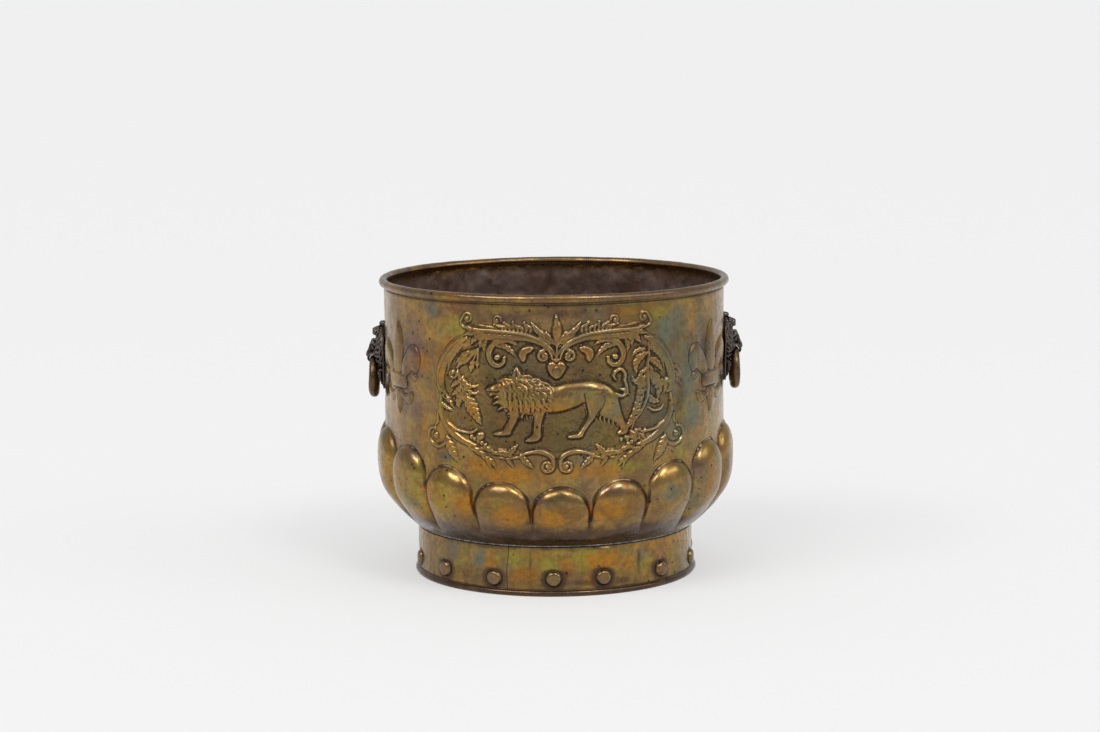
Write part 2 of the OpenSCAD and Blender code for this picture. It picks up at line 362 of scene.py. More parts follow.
def centre_bud(art):
    """Petals that open over the middle, and the tulip-shaped pendant that hangs under them."""
    for side in (-1, 1):
        pen = Mirror(art, side)
        pen.leaf([(6, 239), (11.5, 245.5), (17, 251), (22.5, 258.5)], 3.6, 2.4, 3)
        pen.leaf([(2, 238), (6, 243.5), (9.5, 250.5)], 2.7, 2.2, 2)
        pen.stroke([(1, 227), (4, 234), (9, 240.5)], [0.7, 1.1, 0.6], 2.2)
    art.leaf([(2.2, 236), (2.6, 245), (2.3, 254), (1.5, 265)], 4.9, 2.9, 2, deep=0.4)
    art.stroke([(1.5, 223), (1.9, 230), (2.2, 238)], [1.6, 1.3, 1.2], 2.4)
    art.shape([(1.5, 220.5), (5, 223), (9, 221.5), (10.2, 216.5), (7.5, 210.5), (1.5, 206), (-4.5, 210.5),
               (-7.2, 216.5), (-6, 221.5), (-2, 223)], 3.0, 4.2)
    art.mound((1.5, 224), (3.6, 2.0), 0, 2.6)
    for side in (-1, 1):
        pen = Mirror(art, side)
        pen.cut([(0.4, 219.5), (3.4, 215), (2.4, 209.5)], 0.7, 1.0)


def under_wing_scrolls(art, side):
    """Hooks, drops and small leaves that hang from the wings' undersides."""
    pen = Mirror(art, side)
    pen.volute((11.4, 227.6), 5.2, 90, -1.1 * side, 2.1, 2.2)
    drop = [(19.5, 235), (24.5, 237), (30.5, 235.5), (34, 231.5), (33.6, 226.5), (30, 221.5), (27.2, 224.5),
            (26, 229), (22.5, 231)]
    pen.shape(drop, 2.3, 2.6, 0.0)
    pen.cut([(23, 234), (28, 233), (31, 229), (30.5, 224.5)], 0.6, 0.8)
    pen.cut([(26, 236), (31, 234), (33, 230)], 0.45, 0.5)
    hook = [(40, 241.5), (50, 241), (57, 238), (61.3, 232), (61.7, 225.5), (58.5, 219.8), (53, 218),
            (48.3, 220.8), (47.3, 225.5)]
    pen.band(hook, [1.2, 2.4, 2.9, 3.1, 2.9, 2.6, 2.3, 2.0, 1.6], 2.3, -side)
    pen.mound((54.2, 225.6), (3.2, 3.2), 0, 2.6)
    pen.leaf([(54, 236), (47, 236), (41, 232), (37, 227)], 3.0, 1.8, 4)
    pen.leaf([(46, 241), (40, 240), (34.5, 237)], 2.0, 1.6, 3)
    pen.leaf([(64, 241), (66.5, 236), (66, 229)], 2.4, 1.7, 3)


def left_acanthus(art):
    """Leaves between the left band and the lion's head."""
    for knee, tip, half in (
        ((-80, 230), (-91, 224), 1.9), ((-82, 227), (-95, 218.5), 2.7), ((-82, 224), (-95, 213), 2.4),
        ((-79, 224), (-86, 217.5), 1.9), ((-76, 222), (-79.6, 210.5), 3.0), ((-72, 222), (-72.6, 215), 2.0),
    ):
        middle = (0.5 * (knee[0] + tip[0]), 0.5 * (knee[1] + tip[1]))
        art.stroke([(-70.5, 233), knee, middle], [0.9, 0.8, 0.7], 1.7)
        bend = (0.45 * knee[0] + 0.55 * tip[0], 0.45 * knee[1] + 0.55 * tip[1] + 0.8)
        art.leaf([knee, bend, tip], half, 2.2, 2)
    for points, half in (
        # curled leaves on the right and left of the stem
        ([(-88, 206), (-85, 200.5), (-79, 197.8), (-71, 199)], 2.6),
        ([(-87, 201), (-82, 194.5), (-76, 191.5), (-70, 194)], 2.0),
        ([(-89, 203), (-95, 200), (-101, 195)], 2.8), ([(-88, 198), (-93.5, 193), (-99.5, 188)], 3.2),
        ([(-85, 192), (-90, 188), (-92.5, 182), (-91.5, 176.5)], 4.2),
        ([(-114, 188.5), (-107, 187), (-101, 182), (-97, 176)], 2.8),
        ([(-111, 181), (-105, 176.5), (-98, 174)], 2.0),
    ):
        art.leaf(points, half, 2.0, 4)
    art.stroke([(-93, 212), (-90.6, 205), (-87.2, 196.4), (-83, 189)], [0.7, 1.4, 1.7, 1.4], 2.3)
    art.volute((-98.3, 208.5), 4.8, 10, -1.0, 1.5, 1.8)
    art.leaf([(-84.5, 191), (-81, 184), (-76.5, 176), (-69.2, 163.5)], 6.4, 2.6, 6)


def right_acanthus(art):
    """Dense foliage between the lion's rump and the right band."""
    stem = [(89, 236), (90, 226), (88, 216), (88, 206), (88.5, 196), (87, 186), (82, 175), (74, 166),
            (67, 159)]
    for k in range(8):
        root = np.array([88.6 - 0.24 * k * k, 213 - 6.3 * k])
        art.leaf([root, root + (-6.4, -3.6), root + (-11.0, -12.0 + 0.3 * k)], 2.2, 2.2, 3)
        art.stroke([root, root + (-4.0, -7.0), root + (-6.0, -13.0)], [0.5, 0.9, 0.3], 1.7)
    for points, half in (
        ([(88, 227), (81, 224), (76, 217), (77, 209)], 4.0), ([(86, 231), (78, 230), (72, 225)], 2.4),
        ([(82, 206), (77, 202), (71.5, 203)], 2.4), ([(89, 209), (96, 204), (101, 195), (99, 184)], 5.6),
        ([(90, 222), (98, 218), (105, 209)], 3.8), ([(91, 232), (98, 228), (104, 220)], 2.8),
        ([(88, 190), (94, 183), (103, 181)], 3.4), ([(90, 216), (93, 209), (92, 200)], 2.4),
        ([(104, 202), (108, 196), (107, 188)], 2.6),
    ):
        art.leaf(points, half, 2.0, 4)
    art.stroke(stem, [0.6, 1.2, 1.5, 1.8, 2.1, 1.8, 1.5, 1.2, 0.5], 2.5)
    art.stroke([(72.5, 206), (76, 200), (82, 199.5), (85, 205)], [0.6, 1.5, 1.5, 0.7], 2.2)
    art.stroke([(88.5, 177), (95, 173.6), (102, 174), (107, 177.5)], [0.6, 1.6, 1.6, 0.6], 1.7)
    art.mound((110, 200), (2.6, 3.4), 20, 2.2)
    for start in ((118, 213), (120, 200)):
        art.leaf([start, (start[0] + 6, start[1] - 2.5), (start[0] + 10, start[1] - 8.5)], 2.3, 1.2, 3)


def bottom_border(art, side):
    """Leaves, beads and the pair of volutes that close the field underneath."""
    pen = Mirror(art, side)
    pen.volute((8.8, 127), 5.7, 90 + 90 * side, 1.25 * side, 1.7, 2.1)
    pen.stroke([(3.1, 128), (4.0, 134), (9, 138.6), (17, 140.6), (26, 139.4), (34, 136.5)],
               [1.7, 2.3, 2.6, 2.5, 2.0, 0.8], 2.1)
    for points, half in (
        ([(33, 137.5), (28.5, 131.5), (21, 125)], 3.0), ([(45, 136.5), (41, 141), (35.5, 146.5)], 3.0),
        ([(41, 136), (50, 138.5), (61, 137.5)], 3.1),
        ([(83, 142), (73, 138.5), (65, 132.5), (60.5, 123)], 3.0),
        ([(69, 134), (61, 131), (55.5, 123.5)], 2.3), ([(46, 134), (42, 129), (39, 125)], 1.8),
        ([(58, 139), (66, 142), (74, 141)], 2.2),
    ):
        pen.leaf(points, half, 1.9, 4)
    pen.stroke([(30, 137), (38, 134.5), (47, 133.5), (57, 134.5)], [1.1, 1.0, 1.0, 0.5], 1.4)
    for k in range(5):
        pen.mound((80.5 - 3.5 * k, 151.6 - 1.7 * k), (1.9, 2.3), 0, 2.0)
    pen.mound((71.5, 153), (4.2, 4.4), 0, 2.9)


def pebbles(art):
    """Small beads heaped over the right band's lower end."""
    rng = np.random.default_rng(17)
    for k in range(30):
        along, up = rng.uniform(0, 1), rng.uniform(0, 1)
        centre = (61 + 27 * along, 146 + 11 * up + 2 * along)
        art.mound(centre, (1.5 * rng.uniform(0.8, 1.3), 1.4), 180 * rng.uniform(), 1.3)


def lion(art):
    """A lion walking to the left, raised higher than the ornament round it."""
    far_hind_leg = [(44, 192), (57, 190), (60, 182), (62.5, 173), (65.5, 165), (68, 158.5), (66.5, 154.5),
                    (61, 153.6), (57.5, 155), (60.5, 159.5), (57, 164), (50, 168.5), (42, 172), (38, 180)]
    trunk = [(-64, 195.4), (-62.6, 198.4), (-58, 200.8), (-53.6, 202.6), (-50.8, 204), (-49.4, 207),
             (-45, 209.4), (-40, 210.6), (-34, 212.4), (-27, 211), (-20, 208), (-13, 205.6), (-7, 202),
             (0, 201), (8, 202.8), (18, 204), (30, 205), (40, 204), (48, 200.4), (54, 196), (57.6, 190),
             (58, 184), (50, 178), (40, 176), (32, 179), (27, 184), (20, 181.4), (12, 178.4), (2, 176.4),
             (-8, 176), (-16, 174), (-24, 173.6), (-32, 175), (-40, 177), (-46, 179.4), (-51, 182.6),
             (-57.4, 183.4), (-53.6, 186.6), (-51.6, 189.6), (-54, 191.4), (-58.6, 189.6), (-61.6, 190.8),
             (-61, 193)]
    far_foreleg = [(-45, 183), (-41.6, 175), (-42.6, 169), (-46, 163), (-48, 159.8), (-52, 158.4),
                   (-56.6, 157), (-57.4, 154.6), (-52, 153.8), (-45, 154), (-40.6, 155.4), (-38.6, 160),
                   (-35, 166), (-32.4, 172), (-30, 179), (-34, 187)]
    near_foreleg = [(-24, 184), (-20.4, 175), (-19.6, 168), (-20, 162), (-20.6, 158), (-23, 154.6),
                    (-26.8, 152), (-27, 149.4), (-21, 148.8), (-15, 150.2), (-12.2, 154.6), (-12, 161),
                    (-11, 168), (-9, 176), (-7, 185), (-15, 191)]
    near_hind_leg = [(27, 193), (26.8, 185), (28.6, 178), (29, 172.6), (26.6, 167), (23, 161.6),
                     (20, 157.8), (14.6, 156.8), (11, 155.2), (11.4, 152.4), (18, 152), (24.4, 153),
                     (27, 158), (30.6, 163.4), (35, 168.4), (38.8, 173.6), (42.6, 180), (43.6, 189),
                     (37, 197)]
    ear = [(-39, 209), (-37.6, 214), (-34.6, 218.6), (-31.4, 215.6), (-29, 210), (-33, 206)]
    for outline, height, roll, soft in (
        (far_hind_leg, 2.8, 5.5, 0.6), (trunk, 5.2, 13.0, 1.0), (far_foreleg, 3.4, 4.2, 0.6),
        (near_foreleg, 3.9, 4.2, 0.6), (near_hind_leg, 4.2, 4.8, 0.6), (ear, 5.0, 2.4, 0.6),
    ):
        art.shape(outline, height, roll, soft)
    art.cut([(-34.4, 216), (-34, 211.5), (-35, 208)], 0.9, 1.3)
    # masses of shoulder, ribs, loin and haunches
    for centre, radii, turn, height in (
        ((-38, 199), (14, 10), 20, 1.2), ((-22, 190), (15, 15), 0, 1.3), ((4, 188), (15, 11), 0, 0.7),
        ((36, 188), (11, 13), -14, 1.4), ((50, 186), (8, 13), 20, 0.8), ((30, 199), (24, 5), 0, 0.9),
        ((-58, 196.6), (5, 3.6), 24, 0.9), ((-36, 180), (6, 8), 20, 0.7),
    ):
        art.mound(centre, radii, turn, height, flat=1.0, lift=True)
    lion_face(art)
    mane(art)
    # tail, raised over the rump and curled
    tail = [(55, 192), (62, 189.4), (66.6, 192.6), (66, 199.6), (64.4, 204), (65, 209.6), (61, 214),
            (56, 212.6), (53.6, 208), (56.4, 204)]
    art.stroke(tail, [2.4, 2.0, 1.9, 1.8, 1.9, 2.1, 2.2, 2.0, 1.7, 1.2], 3.0)
    art.leaf([(60, 196), (65, 194), (71, 189)], 2.0, 2.2, 3)
    # flank, haunch and shoulder lines
    art.cut([(26, 193), (27, 187), (27.6, 181), (29.4, 175)], 0.8, 1.1)
    art.cut([(43.6, 192), (43.8, 185), (41, 178), (37, 172)], 0.8, 1.0)
    art.cut([(-3, 199), (-6.6, 191), (-6, 183), (-8.6, 177)], 0.8, 0.8)
    for k in range(4):
        art.cut([(1 + 6 * k, 195), (-1 + 6 * k, 189), (1 + 6 * k, 184)], 0.7, 0.4)
    # fringe of hair behind the hind leg and under the chest
    tufts = (((37, 173), (4.0, -1.3), 7), ((-32, 175), (3.2, -0.4), 4), ((28, 166), (1.8, 3.0), 3))
    for start, way, count in tufts:
        for k in range(count):
            root = np.array(start) + k * np.array(way)
            art.stroke([root, root + (0.2, -2.6), root + (1.6, -5.6)], [0.9, 0.8, 0.3], 1.7)


def lion_face(art):
    """Muzzle, nostril, mouth, brow and eye of the lion, seen from its left."""
    art.mound((-62, 196), (2.4, 2.2), 0, 1.1, lift=True)
    art.stroke([(-53, 201), (-49, 205.6), (-44, 207.2), (-39, 206.4)], [0.7, 1.5, 1.4, 0.7], 1.2, lift=True)
    art.stroke([(-46, 197), (-43, 201.6), (-38, 203.6)], [0.7, 1.6, 0.8], 0.9, lift=True)
    art.mound((-50, 201), (1.7, 1.2), 24, 1.2, lift=True)
    art.cut([(-62, 193.2), (-57, 194.6), (-52.6, 194), (-50, 196)], 0.8, 1.7)
    art.cut([(-52.4, 202), (-49, 203.2), (-47.4, 201.4)], 0.5, 0.9)
    art.cut([(-61.6, 197.4), (-60.6, 196.6)], 0.5, 0.7)
    art.cut([(-56, 198.4), (-53.6, 197.4), (-52.6, 198.6)], 0.5, 0.6)


def mane(art):
    """Overlapping locks that sweep back and down from the face over neck, shoulder and chest."""
    rng = np.random.default_rng(5)
    for row in range(9):
        for k in range(9):
            down = k / 8
            root = np.array([-47 + 4.9 * row + 2.0 * down + rng.uniform(-1.0, 1.0),
                             208 - 29 * down - 0.5 * row * (1 - down) + rng.uniform(-1.2, 1.2)])
            turn = math.radians(-52 - 44 * down + 3.0 * row + rng.uniform(-16, 16))
            way = np.array([math.cos(turn), math.sin(turn)])
            side = np.array([-way[1], way[0]])
            long = rng.uniform(5.4, 8.4)
            points = [root, root + 0.45 * long * way + 0.9 * side, root + long * way - 0.6 * side]
            art.stroke(points, [0.8, 1.35, 0.4], rng.uniform(0.7, 1.3), lift=True)
            if k % 2:
                line = [root + 1.6 * side, root + 3.4 * way + 2.4 * side, root + long * way + 1.0 * side]
                art.cut(line, 0.5, 0.7)
    # tufts that stand out from the chest and the nape
    for root, tip in (((-49, 186), (-58, 182)), ((-46, 181), (-53, 176.6)), ((-38, 177), (-44, 172.6)),
                      ((-27, 210), (-20, 208.4)), ((-19, 207), (-11, 204.6)), ((-12, 204), (-3, 200.4)),
                      ((-29, 175), (-30, 169.6)), ((-50, 190), (-56.4, 187.6))):
        knee = (0.5 * (root[0] + tip[0]), 0.5 * (root[1] + tip[1]) + 0.8)
        art.stroke([root, knee, tip], [1.6, 1.8, 0.5], 3.6)


def ground(art):
    """Sinks and mats the field behind the lion with small punched strokes."""
    rng = np.random.default_rng(11)
    half_wide, half_high, middle_z, squareness = 112, 53, 193, 2.6
    inside = (np.abs(art.S - SCENE_MIDDLE) / half_wide) ** squareness
    inside = inside + (np.abs(art.Z - middle_z) / half_high) ** squareness
    field = smoothstep(1.04, 0.96, inside)
    grain = rng.normal(size=art.S.shape)
    upright = blur(grain, 0.9)
    upright = upright + np.roll(upright, 1, 0) + np.roll(upright, -1, 0) + np.roll(upright, 2, 0)
    marks = upright / upright.std()
    hatch = np.sin((art.S * 0.62 + art.Z * 0.78) * 2 * math.pi / 2.7 + 1.8 * blur(grain, 2.4) * 6)
    return field, field * (-0.5 + 0.13 * marks + 0.08 * hatch)


def cartouche():
    """The whole framed scene with its lion."""
    art = Relief(-137, 139, 116, 272)
    for side in (-1, 1):
        side_scrolls(art, side)
        under_wing_scrolls(art, side)
        sprays(art, side)
        bottom_border(art, side)
    pebbles(art)
    left_acanthus(art)
    right_acanthus(art)
    for side in (-1, 1):
        wings(art, side)
    centre_bud(art)
    lion(art)
    field, sunk = ground(art)
    return finished(art, field, sunk)


def fleur():
    """A fleur-de-lis with plump side petals, tied by a cross band, centred on arc 0."""
    art = Relief(-48, 48, 150, 258)
    art.shape([(0, 249.5), (5, 244), (9, 233), (10, 221), (6.5, 202), (-6.5, 202), (-10, 221), (-9, 233),
               (-5, 244)], 1.8, 8)
    for side in (-1, 1):
        pen = Mirror(art, side, 0)
        petal = [(7, 200), (10, 213), (17, 223.5), (26, 229.5), (34, 228), (38.6, 220), (37.6, 210),
                 (33, 204), (27, 206), (22, 203), (14, 199)]
        pen.shape(petal, 2.0, 8)
        curl = [(19, 183), (26, 185), (25, 177), (17, 173.5), (8, 178), (5, 186), (12, 182)]
        pen.shape(curl, 1.4, 3.5)
        pen.mound((30, 200), (4.6, 3.6), 0, 1.7)
        pen.cut([(11, 204), (15, 211), (21, 216)], 0.8, 0.35)
    art.shape([(0, 187), (6, 184), (7.4, 177), (4, 168), (0, 162), (-4, 168), (-7.4, 177), (-6, 184)], 1.7, 6)
    art.shape([(-15.5, 200.5), (0, 201.5), (15.5, 200.5), (15.5, 188.5), (0, 187.5), (-15.5, 188.5)],
              2.2, 2.2)
    return finished(art, np.zeros(art.S.shape), 0)


def finished(art, field, sunk):
    """Adds what every worked sheet has: chased outlines, swelling round shapes, worn tops, painted shade in
    the hollows and a painted highlight on the tops.
    """
    soft = blur(art.raised, 0.6 / art.pitch)
    edge = 4 * soft * (1 - soft) * (1 - art.raised)
    uneven = blur(np.random.default_rng(13).normal(size=art.S.shape), 5)
    edge = edge * np.clip(0.6 + 0.5 * uneven / uneven.std(), 0.05, 1.3)
    swell = blur(art.raised, 3.0 / art.pitch)
    height = art.height * 0.9 + 0.9 * swell - 0.6 * edge + sunk * (1 - art.raised) - art.sunk
    height = blur(height, 0.36 / art.pitch)
    around = blur(height, 1.3 / art.pitch)
    art.height = height
    # painted shade in the hollows and along the chased outlines
    art.cavity = np.clip((around - height) / 0.42 + 0.22 * edge, 0, 1)
    # painted highlight, with some wear, on the raised tops
    art.polish = np.clip((height - around) / 0.60, 0, 1)
    art.field = field * (1 - art.raised)
    return art


def sample(art, values, s, z):
    """Bilinear look-up of a relief's values at arcs and heights, 0 outside it."""
    x = (s - art.s[0]) / art.pitch
    y = (z - art.z[0]) / art.pitch
    inside = (x >= 0) & (y >= 0) & (x < len(art.s) - 1) & (y < len(art.z) - 1)
    j = np.clip(x.astype(int), 0, len(art.s) - 2)
    i = np.clip(y.astype(int), 0, len(art.z) - 2)
    u, v = x - j, y - i
    low = values[i, j] * (1 - u) + values[i, j + 1] * u
    high = values[i + 1, j] * (1 - u) + values[i + 1, j + 1] * u
    return np.where(inside, low * (1 - v) + high * v, 0)


# ---------------------------------------------------------------- meshes

def put(name, mesh, body, replaced, material):
    """Links a finished mesh as a piece of the model."""
    mesh.polygons.foreach_set("use_smooth", np.ones(len(mesh.polygons), bool))
    mesh.materials.clear()
    mesh.materials.append(material)
    piece = bpy.data.objects.new(name, mesh)
    bpy.context.scene.collection.objects.link(piece)
    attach(piece, body)
    if replaced:
        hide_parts(*replaced)
    return piece


def grid_mesh(name, places, closed_rows=True):
    """Quads over a (rows, columns, 3) array in millimetres, closed round the columns."""
    rows, cols, _ = places.shape
    number = np.arange(rows * cols).reshape(rows, cols)
    ahead = np.roll(number, -1, 1)
    if closed_rows:
        low, high = number, np.roll(number, -1, 0)
        low2, high2 = ahead, np.roll(ahead, -1, 0)
    else:
        low, high = number[:-1], number[1:]
        low2, high2 = ahead[:-1], ahead[1:]
    quads = np.stack([low, low2, high2, high], -1).reshape(-1, 4)
    mesh = bpy.data.meshes.new(name)
    mesh.vertices.add(rows * cols)
    mesh.vertices.foreach_set("co", (places * MM).astype(np.float32).ravel())
    mesh.loops.add(quads.size)
    mesh.loops.foreach_set("vertex_index", quads.astype(np.int32).ravel())
    mesh.polygons.add(len(quads))
    mesh.polygons.foreach_set("loop_start", np.arange(0, quads.size, 4, dtype=np.int32))
    mesh.polygons.foreach_set("loop_total", np.full(len(quads), 4, np.int32))
    mesh.update(calc_edges=True)
    return mesh


def carry(mesh, name, values):
    """Stores a number on each vertex for the material to read."""
    layer = mesh.attributes.new(name, "FLOAT", "POINT")
    layer.data.foreach_set("value", np.ascontiguousarray(values, np.float32).ravel())


def turned(r, z, angle):
    """Places at radius and height, at an angle in radians from the front."""
    return np.stack([r * np.sin(angle), -r * np.cos(angle), z + 0 * angle], -1)


def spread(rows, angle):
    """A section's rows round the pot: the angle and height over the whole grid, the places there,
    then each of the rows' values as a column, the radius first."""
    columns = [np.array(column)[:, None] for column in zip(*rows)]
    A = np.broadcast_to(angle, (len(rows), len(angle)))
    return A, np.broadcast_to(columns[1], A.shape), turned(columns[0] + 0 * A, columns[1], A), *columns


# ---------------------------------------------------------------- the wall

LOBES = 18
LOBE_LOW_Z = 107.0
LOBE_RISE = 38.0
LOBE_TURN = math.radians(1.8)
LOBE_H = 10.3
# length of a lobe's round end
LOBE_ROUND = 27.0
# chased line under the rim bead, which is also darkened as a painted shadow line, and how far from the front
# each lily stands
BEAD_GROOVE_Z = 273.6
FLEUR_TURN = math.radians(63.5)


def gadroons(angle, z):
    """Height of the gadroons over the bowl, and how deep in a crease each place is. rho is 1 on a
    lobe's outline, and a lobe has parallel sides under its round end."""
    pitch = 2 * math.pi / LOBES
    centre = np.round((angle - LOBE_TURN) / pitch) * pitch + LOBE_TURN
    top = LOBE_LOW_Z + LOBE_RISE * np.sin(centre) ** 2
    half = 0.985 * pitch / 2
    up = np.clip((z - top + LOBE_ROUND) / LOBE_ROUND, 0, None)
    rho = np.hypot((angle - centre) / half, up)
    crest = LOBE_H * smoothstep(50, 94, z)
    dome = crest * (np.clip(1.03 - rho ** 2.7, 0.03, 1.03) ** 0.55 - 0.145)
    fuller = 1.3 * smoothstep(FOOT_TOP, FOOT_TOP + 3, z) * smoothstep(80, 56, z)
    away = (rho - 1) * half * WALL_R
    depth = smoothstep(56, 76, z)
    uneven = 0.8 + 0.4 * np.sin(7 * angle + z / 4) * np.sin(23 * angle - z / 9)
    crease = np.exp(-((away - 0.4) / np.where(away > 0.4, 1.7, 1.6)) ** 2) * depth * uneven
    second_line = 0.34 * np.exp(-((away - 4.3) / 1.1) ** 2) * depth * (up > 0)
    crease = np.maximum(crease, second_line)
    return dome + fuller, crease


def wall_profile():
    """Rows of the wall's closed section: radius, height, outward normal, and what each row is."""
    rows = []

    def outer(z):
        if z >= BOWL_Z:
            return WALL_R, z, 1.0, 0.0
        drop = BOWL_Z - z
        c = math.sqrt(1 - (drop / BOWL_R) ** 2)
        return BOWL_CX + BOWL_R * c, z, c, -drop / BOWL_R

    # rows are evenly spaced along the bowl's curve below this height, and in height above it
    even_z = 94
    turn_low, turn_high = (math.asin((BOWL_Z - z) / BOWL_R) for z in (FOOT_TOP, even_z))
    for turn in np.linspace(turn_low, turn_high, 48, endpoint=False):
        rows.append(outer(BOWL_Z - BOWL_R * math.sin(turn)) + ("outer",))
    bead_low = RIM_Z - math.sqrt(BEAD_R ** 2 - (RIM_R - WALL_R) ** 2)
    for z in np.arange(even_z, bead_low, 0.75):
        rows.append(outer(z) + ("outer",))
    for turn in np.radians(np.linspace(-102, 238, 26)):
        c, s = math.cos(turn), math.sin(turn)
        rows.append((RIM_R + BEAD_R * c, RIM_Z + BEAD_R * s, c, s, "bead"))
    low_in = FOOT_TOP + SHEET
    for z in np.linspace(bead_low - 0.6, BOWL_Z, 46, endpoint=False):
        r, z, nr, nz = outer(z)
        rows.append((r - SHEET * nr, z - SHEET * nz, nr, nz, "inner"))
    for turn in np.linspace(0, math.asin((BOWL_Z - low_in) / (BOWL_R - SHEET)), 26):
        r, z, nr, nz = outer(BOWL_Z - BOWL_R * math.sin(turn))
        rows.append((r - SHEET * nr, z - SHEET * nz, nr, nz, "inner"))
    rows.append((FLANGE_R + 1.5, low_in, 0, 0, "flange"))
    rows.append((FLANGE_R, low_in, 0, 0, "flange"))
    rows.append((FLANGE_R, FOOT_TOP, 0, 0, "flange"))
    rows.append((FLANGE_R + 2, FOOT_TOP, 0, 0, "flange"))
    return rows


def wall_columns():
    """Angles round the wall, closest together where the scenes are."""
    fine, middle, coarse = 0.75, 1.0, 1.7
    quarter = WALL_R * math.pi / 2
    arcs = np.concatenate([
        np.arange(0, 134, fine), np.arange(134, 222, middle), np.arange(222, quarter - coarse / 2, coarse)])
    right = arcs / WALL_R
    front_half = np.concatenate([-right[:0:-1], right])
    return np.concatenate([front_half, front_half + math.pi])


# Patches of tarnish and heat colour, the dark ones low on the bowl and at the sides partly painted shade: arc
# and height of the middle, half widths, strength
WALL_PATCHES = {
    "lime": ((102, 262, 22, 8, 0.9), (-96, 250, 16, 14, 0.8), (-84, 262, 16, 8, 0.6), (-112, 92, 14, 26, 0.8),
             (-140, 108, 12, 26, 0.5), (112, 222, 8, 22, 0.6), (-104, 126, 18, 6, 0.8),
             (128, 128, 12, 26, 0.8), (70, 124, 26, 7, 0.7), (-14, 124, 10, 6, 0.6), (-50, 92, 8, 14, 0.5),
             (136, 84, 12, 26, 0.6), (-70, 168, 14, 8, 0.5), (56, 150, 30, 8, 0.5)),
    "plum": ((-150, 222, 26, 34, 1.0), (-96, 268, 40, 6, 0.7), (-150, 170, 20, 24, 0.8),
             (-120, 266, 26, 8, 0.8), (-168, 180, 18, 40, 0.7), (-40, 262, 46, 8, 0.6), (40, 264, 20, 6, 0.6),
             (-128, 178, 14, 26, 0.5), (150, 110, 12, 16, 0.8), (-148, 132, 12, 12, 0.8),
             (-14, 96, 26, 7, 0.7), (50, 104, 18, 6, 0.7), (-50, 104, 16, 5, 0.6), (92, 118, 16, 7, 0.5),
             (168, 190, 14, 40, 0.6), (88, 204, 12, 8, 0.3)),
    "teal": ((136, 214, 52, 46, 0.68), (120, 150, 50, 26, 0.6), (156, 240, 9, 34, 0.7),
             (118, 248, 26, 20, 1.0), (74, 196, 26, 26, 0.55), (100, 168, 22, 14, 0.6),
             (140, 208, 16, 36, 1.0), (146, 164, 18, 20, 0.9), (88, 188, 24, 26, 0.7), (56, 176, 12, 14, 0.7),
             (-126, 264, 14, 10, 0.6), (-112, 244, 6, 10, 0.5), (-108, 131, 14, 7, 0.9),
             (-95, 116, 12, 8, 0.4), (112, 98, 16, 16, 0.7), (150, 84, 12, 26, 0.6),
             (-150, 80, 12, 22, 0.5), (-88, 196, 12, 16, 0.3), (62, 196, 10, 10, 0.4)),
    "orange": ((-101, 236, 12, 9, 0.9), (-38, 118, 44, 8, 1.0), (30, 121, 34, 7, 1.0), (-66, 126, 20, 8, 0.9),
               (-46, 204, 10, 6, 0.7), (-12, 180, 42, 8, 0.8), (-6, 226, 16, 10, 0.8), (150, 236, 5, 30, 0.7),
               (152, 148, 10, 12, 0.9), (-40, 84, 20, 13, 1.0), (-2, 82, 26, 11, 1.0), (46, 86, 20, 12, 1.0),
               (-124, 96, 8, 22, 0.8), (168, 100, 9, 28, 0.7), (-98, 190, 12, 12, 0.5),
               (-84, 90, 14, 12, 0.8), (-112, 206, 7, 30, 0.7), (-136, 150, 8, 26, 0.6),
               (-78, 176, 8, 14, 0.7), (76, 266, 26, 5, 0.6), (-134, 216, 10, 12, 0.6),
               (26, 228, 10, 6, 0.6), (-48, 168, 8, 10, 0.6), (-14, 162, 7, 10, 0.5)),
    "dark": ((4, 266, 52, 7, 0.7), (-48, 262, 42, 8, 0.5), (128, 182, 8, 30, 0.5), (10, 212, 60, 10, 0.4),
             (-160, 215, 10, 60, 0.5), (165, 215, 9, 60, 0.6), (30, 66, 60, 6, 0.6), (-60, 68, 40, 6, 0.6),
             (-24, 74, 7, 4, 0.8), (34, 76, 6, 5, 0.6), (60, 70, 8, 8, 0.6), (-62, 200, 12, 16, 0.5),
             (0, 160, 60, 8, 0.3), (-118, 196, 5, 40, 0.4)),
}
FOOT_PATCHES = {
    "lime": ((-40, 34, 26, 10, 0.9), (-6, 28, 14, 14, 0.9), (26, 34, 14, 12, 1.0), (88, 24, 14, 14, 0.6),
             (-100, 26, 12, 10, 0.6), (112, 30, 8, 16, 0.4)),
    "plum": ((-110, 34, 10, 20, 0.8), (112, 36, 12, 20, 0.7), (14, 14, 30, 6, 0.5)),
    "teal": ((-74, 32, 9, 14, 0.9), (-104, 36, 10, 14, 0.5), (84, 34, 12, 12, 0.6), (-44, 26, 8, 8, 0.5)),
    "orange": ((46, 30, 20, 12, 1.0), (-64, 26, 9, 14, 1.0), (-30, 20, 20, 8, 0.8), (10, 26, 9, 12, 0.9),
               (70, 28, 10, 10, 0.8), (-14, 38, 10, 5, 0.6), (36, 16, 12, 6, 0.8)),
    "dark": ((-50, 30, 4, 14, 0.5), (20, 12, 26, 5, 0.6), (60, 12, 16, 5, 0.7), (-90, 16, 9, 9, 0.5),
             (82, 28, 4, 16, 0.7), (-24, 30, 2.0, 20, 0.6), (66, 26, 5, 5, 0.5)),
}


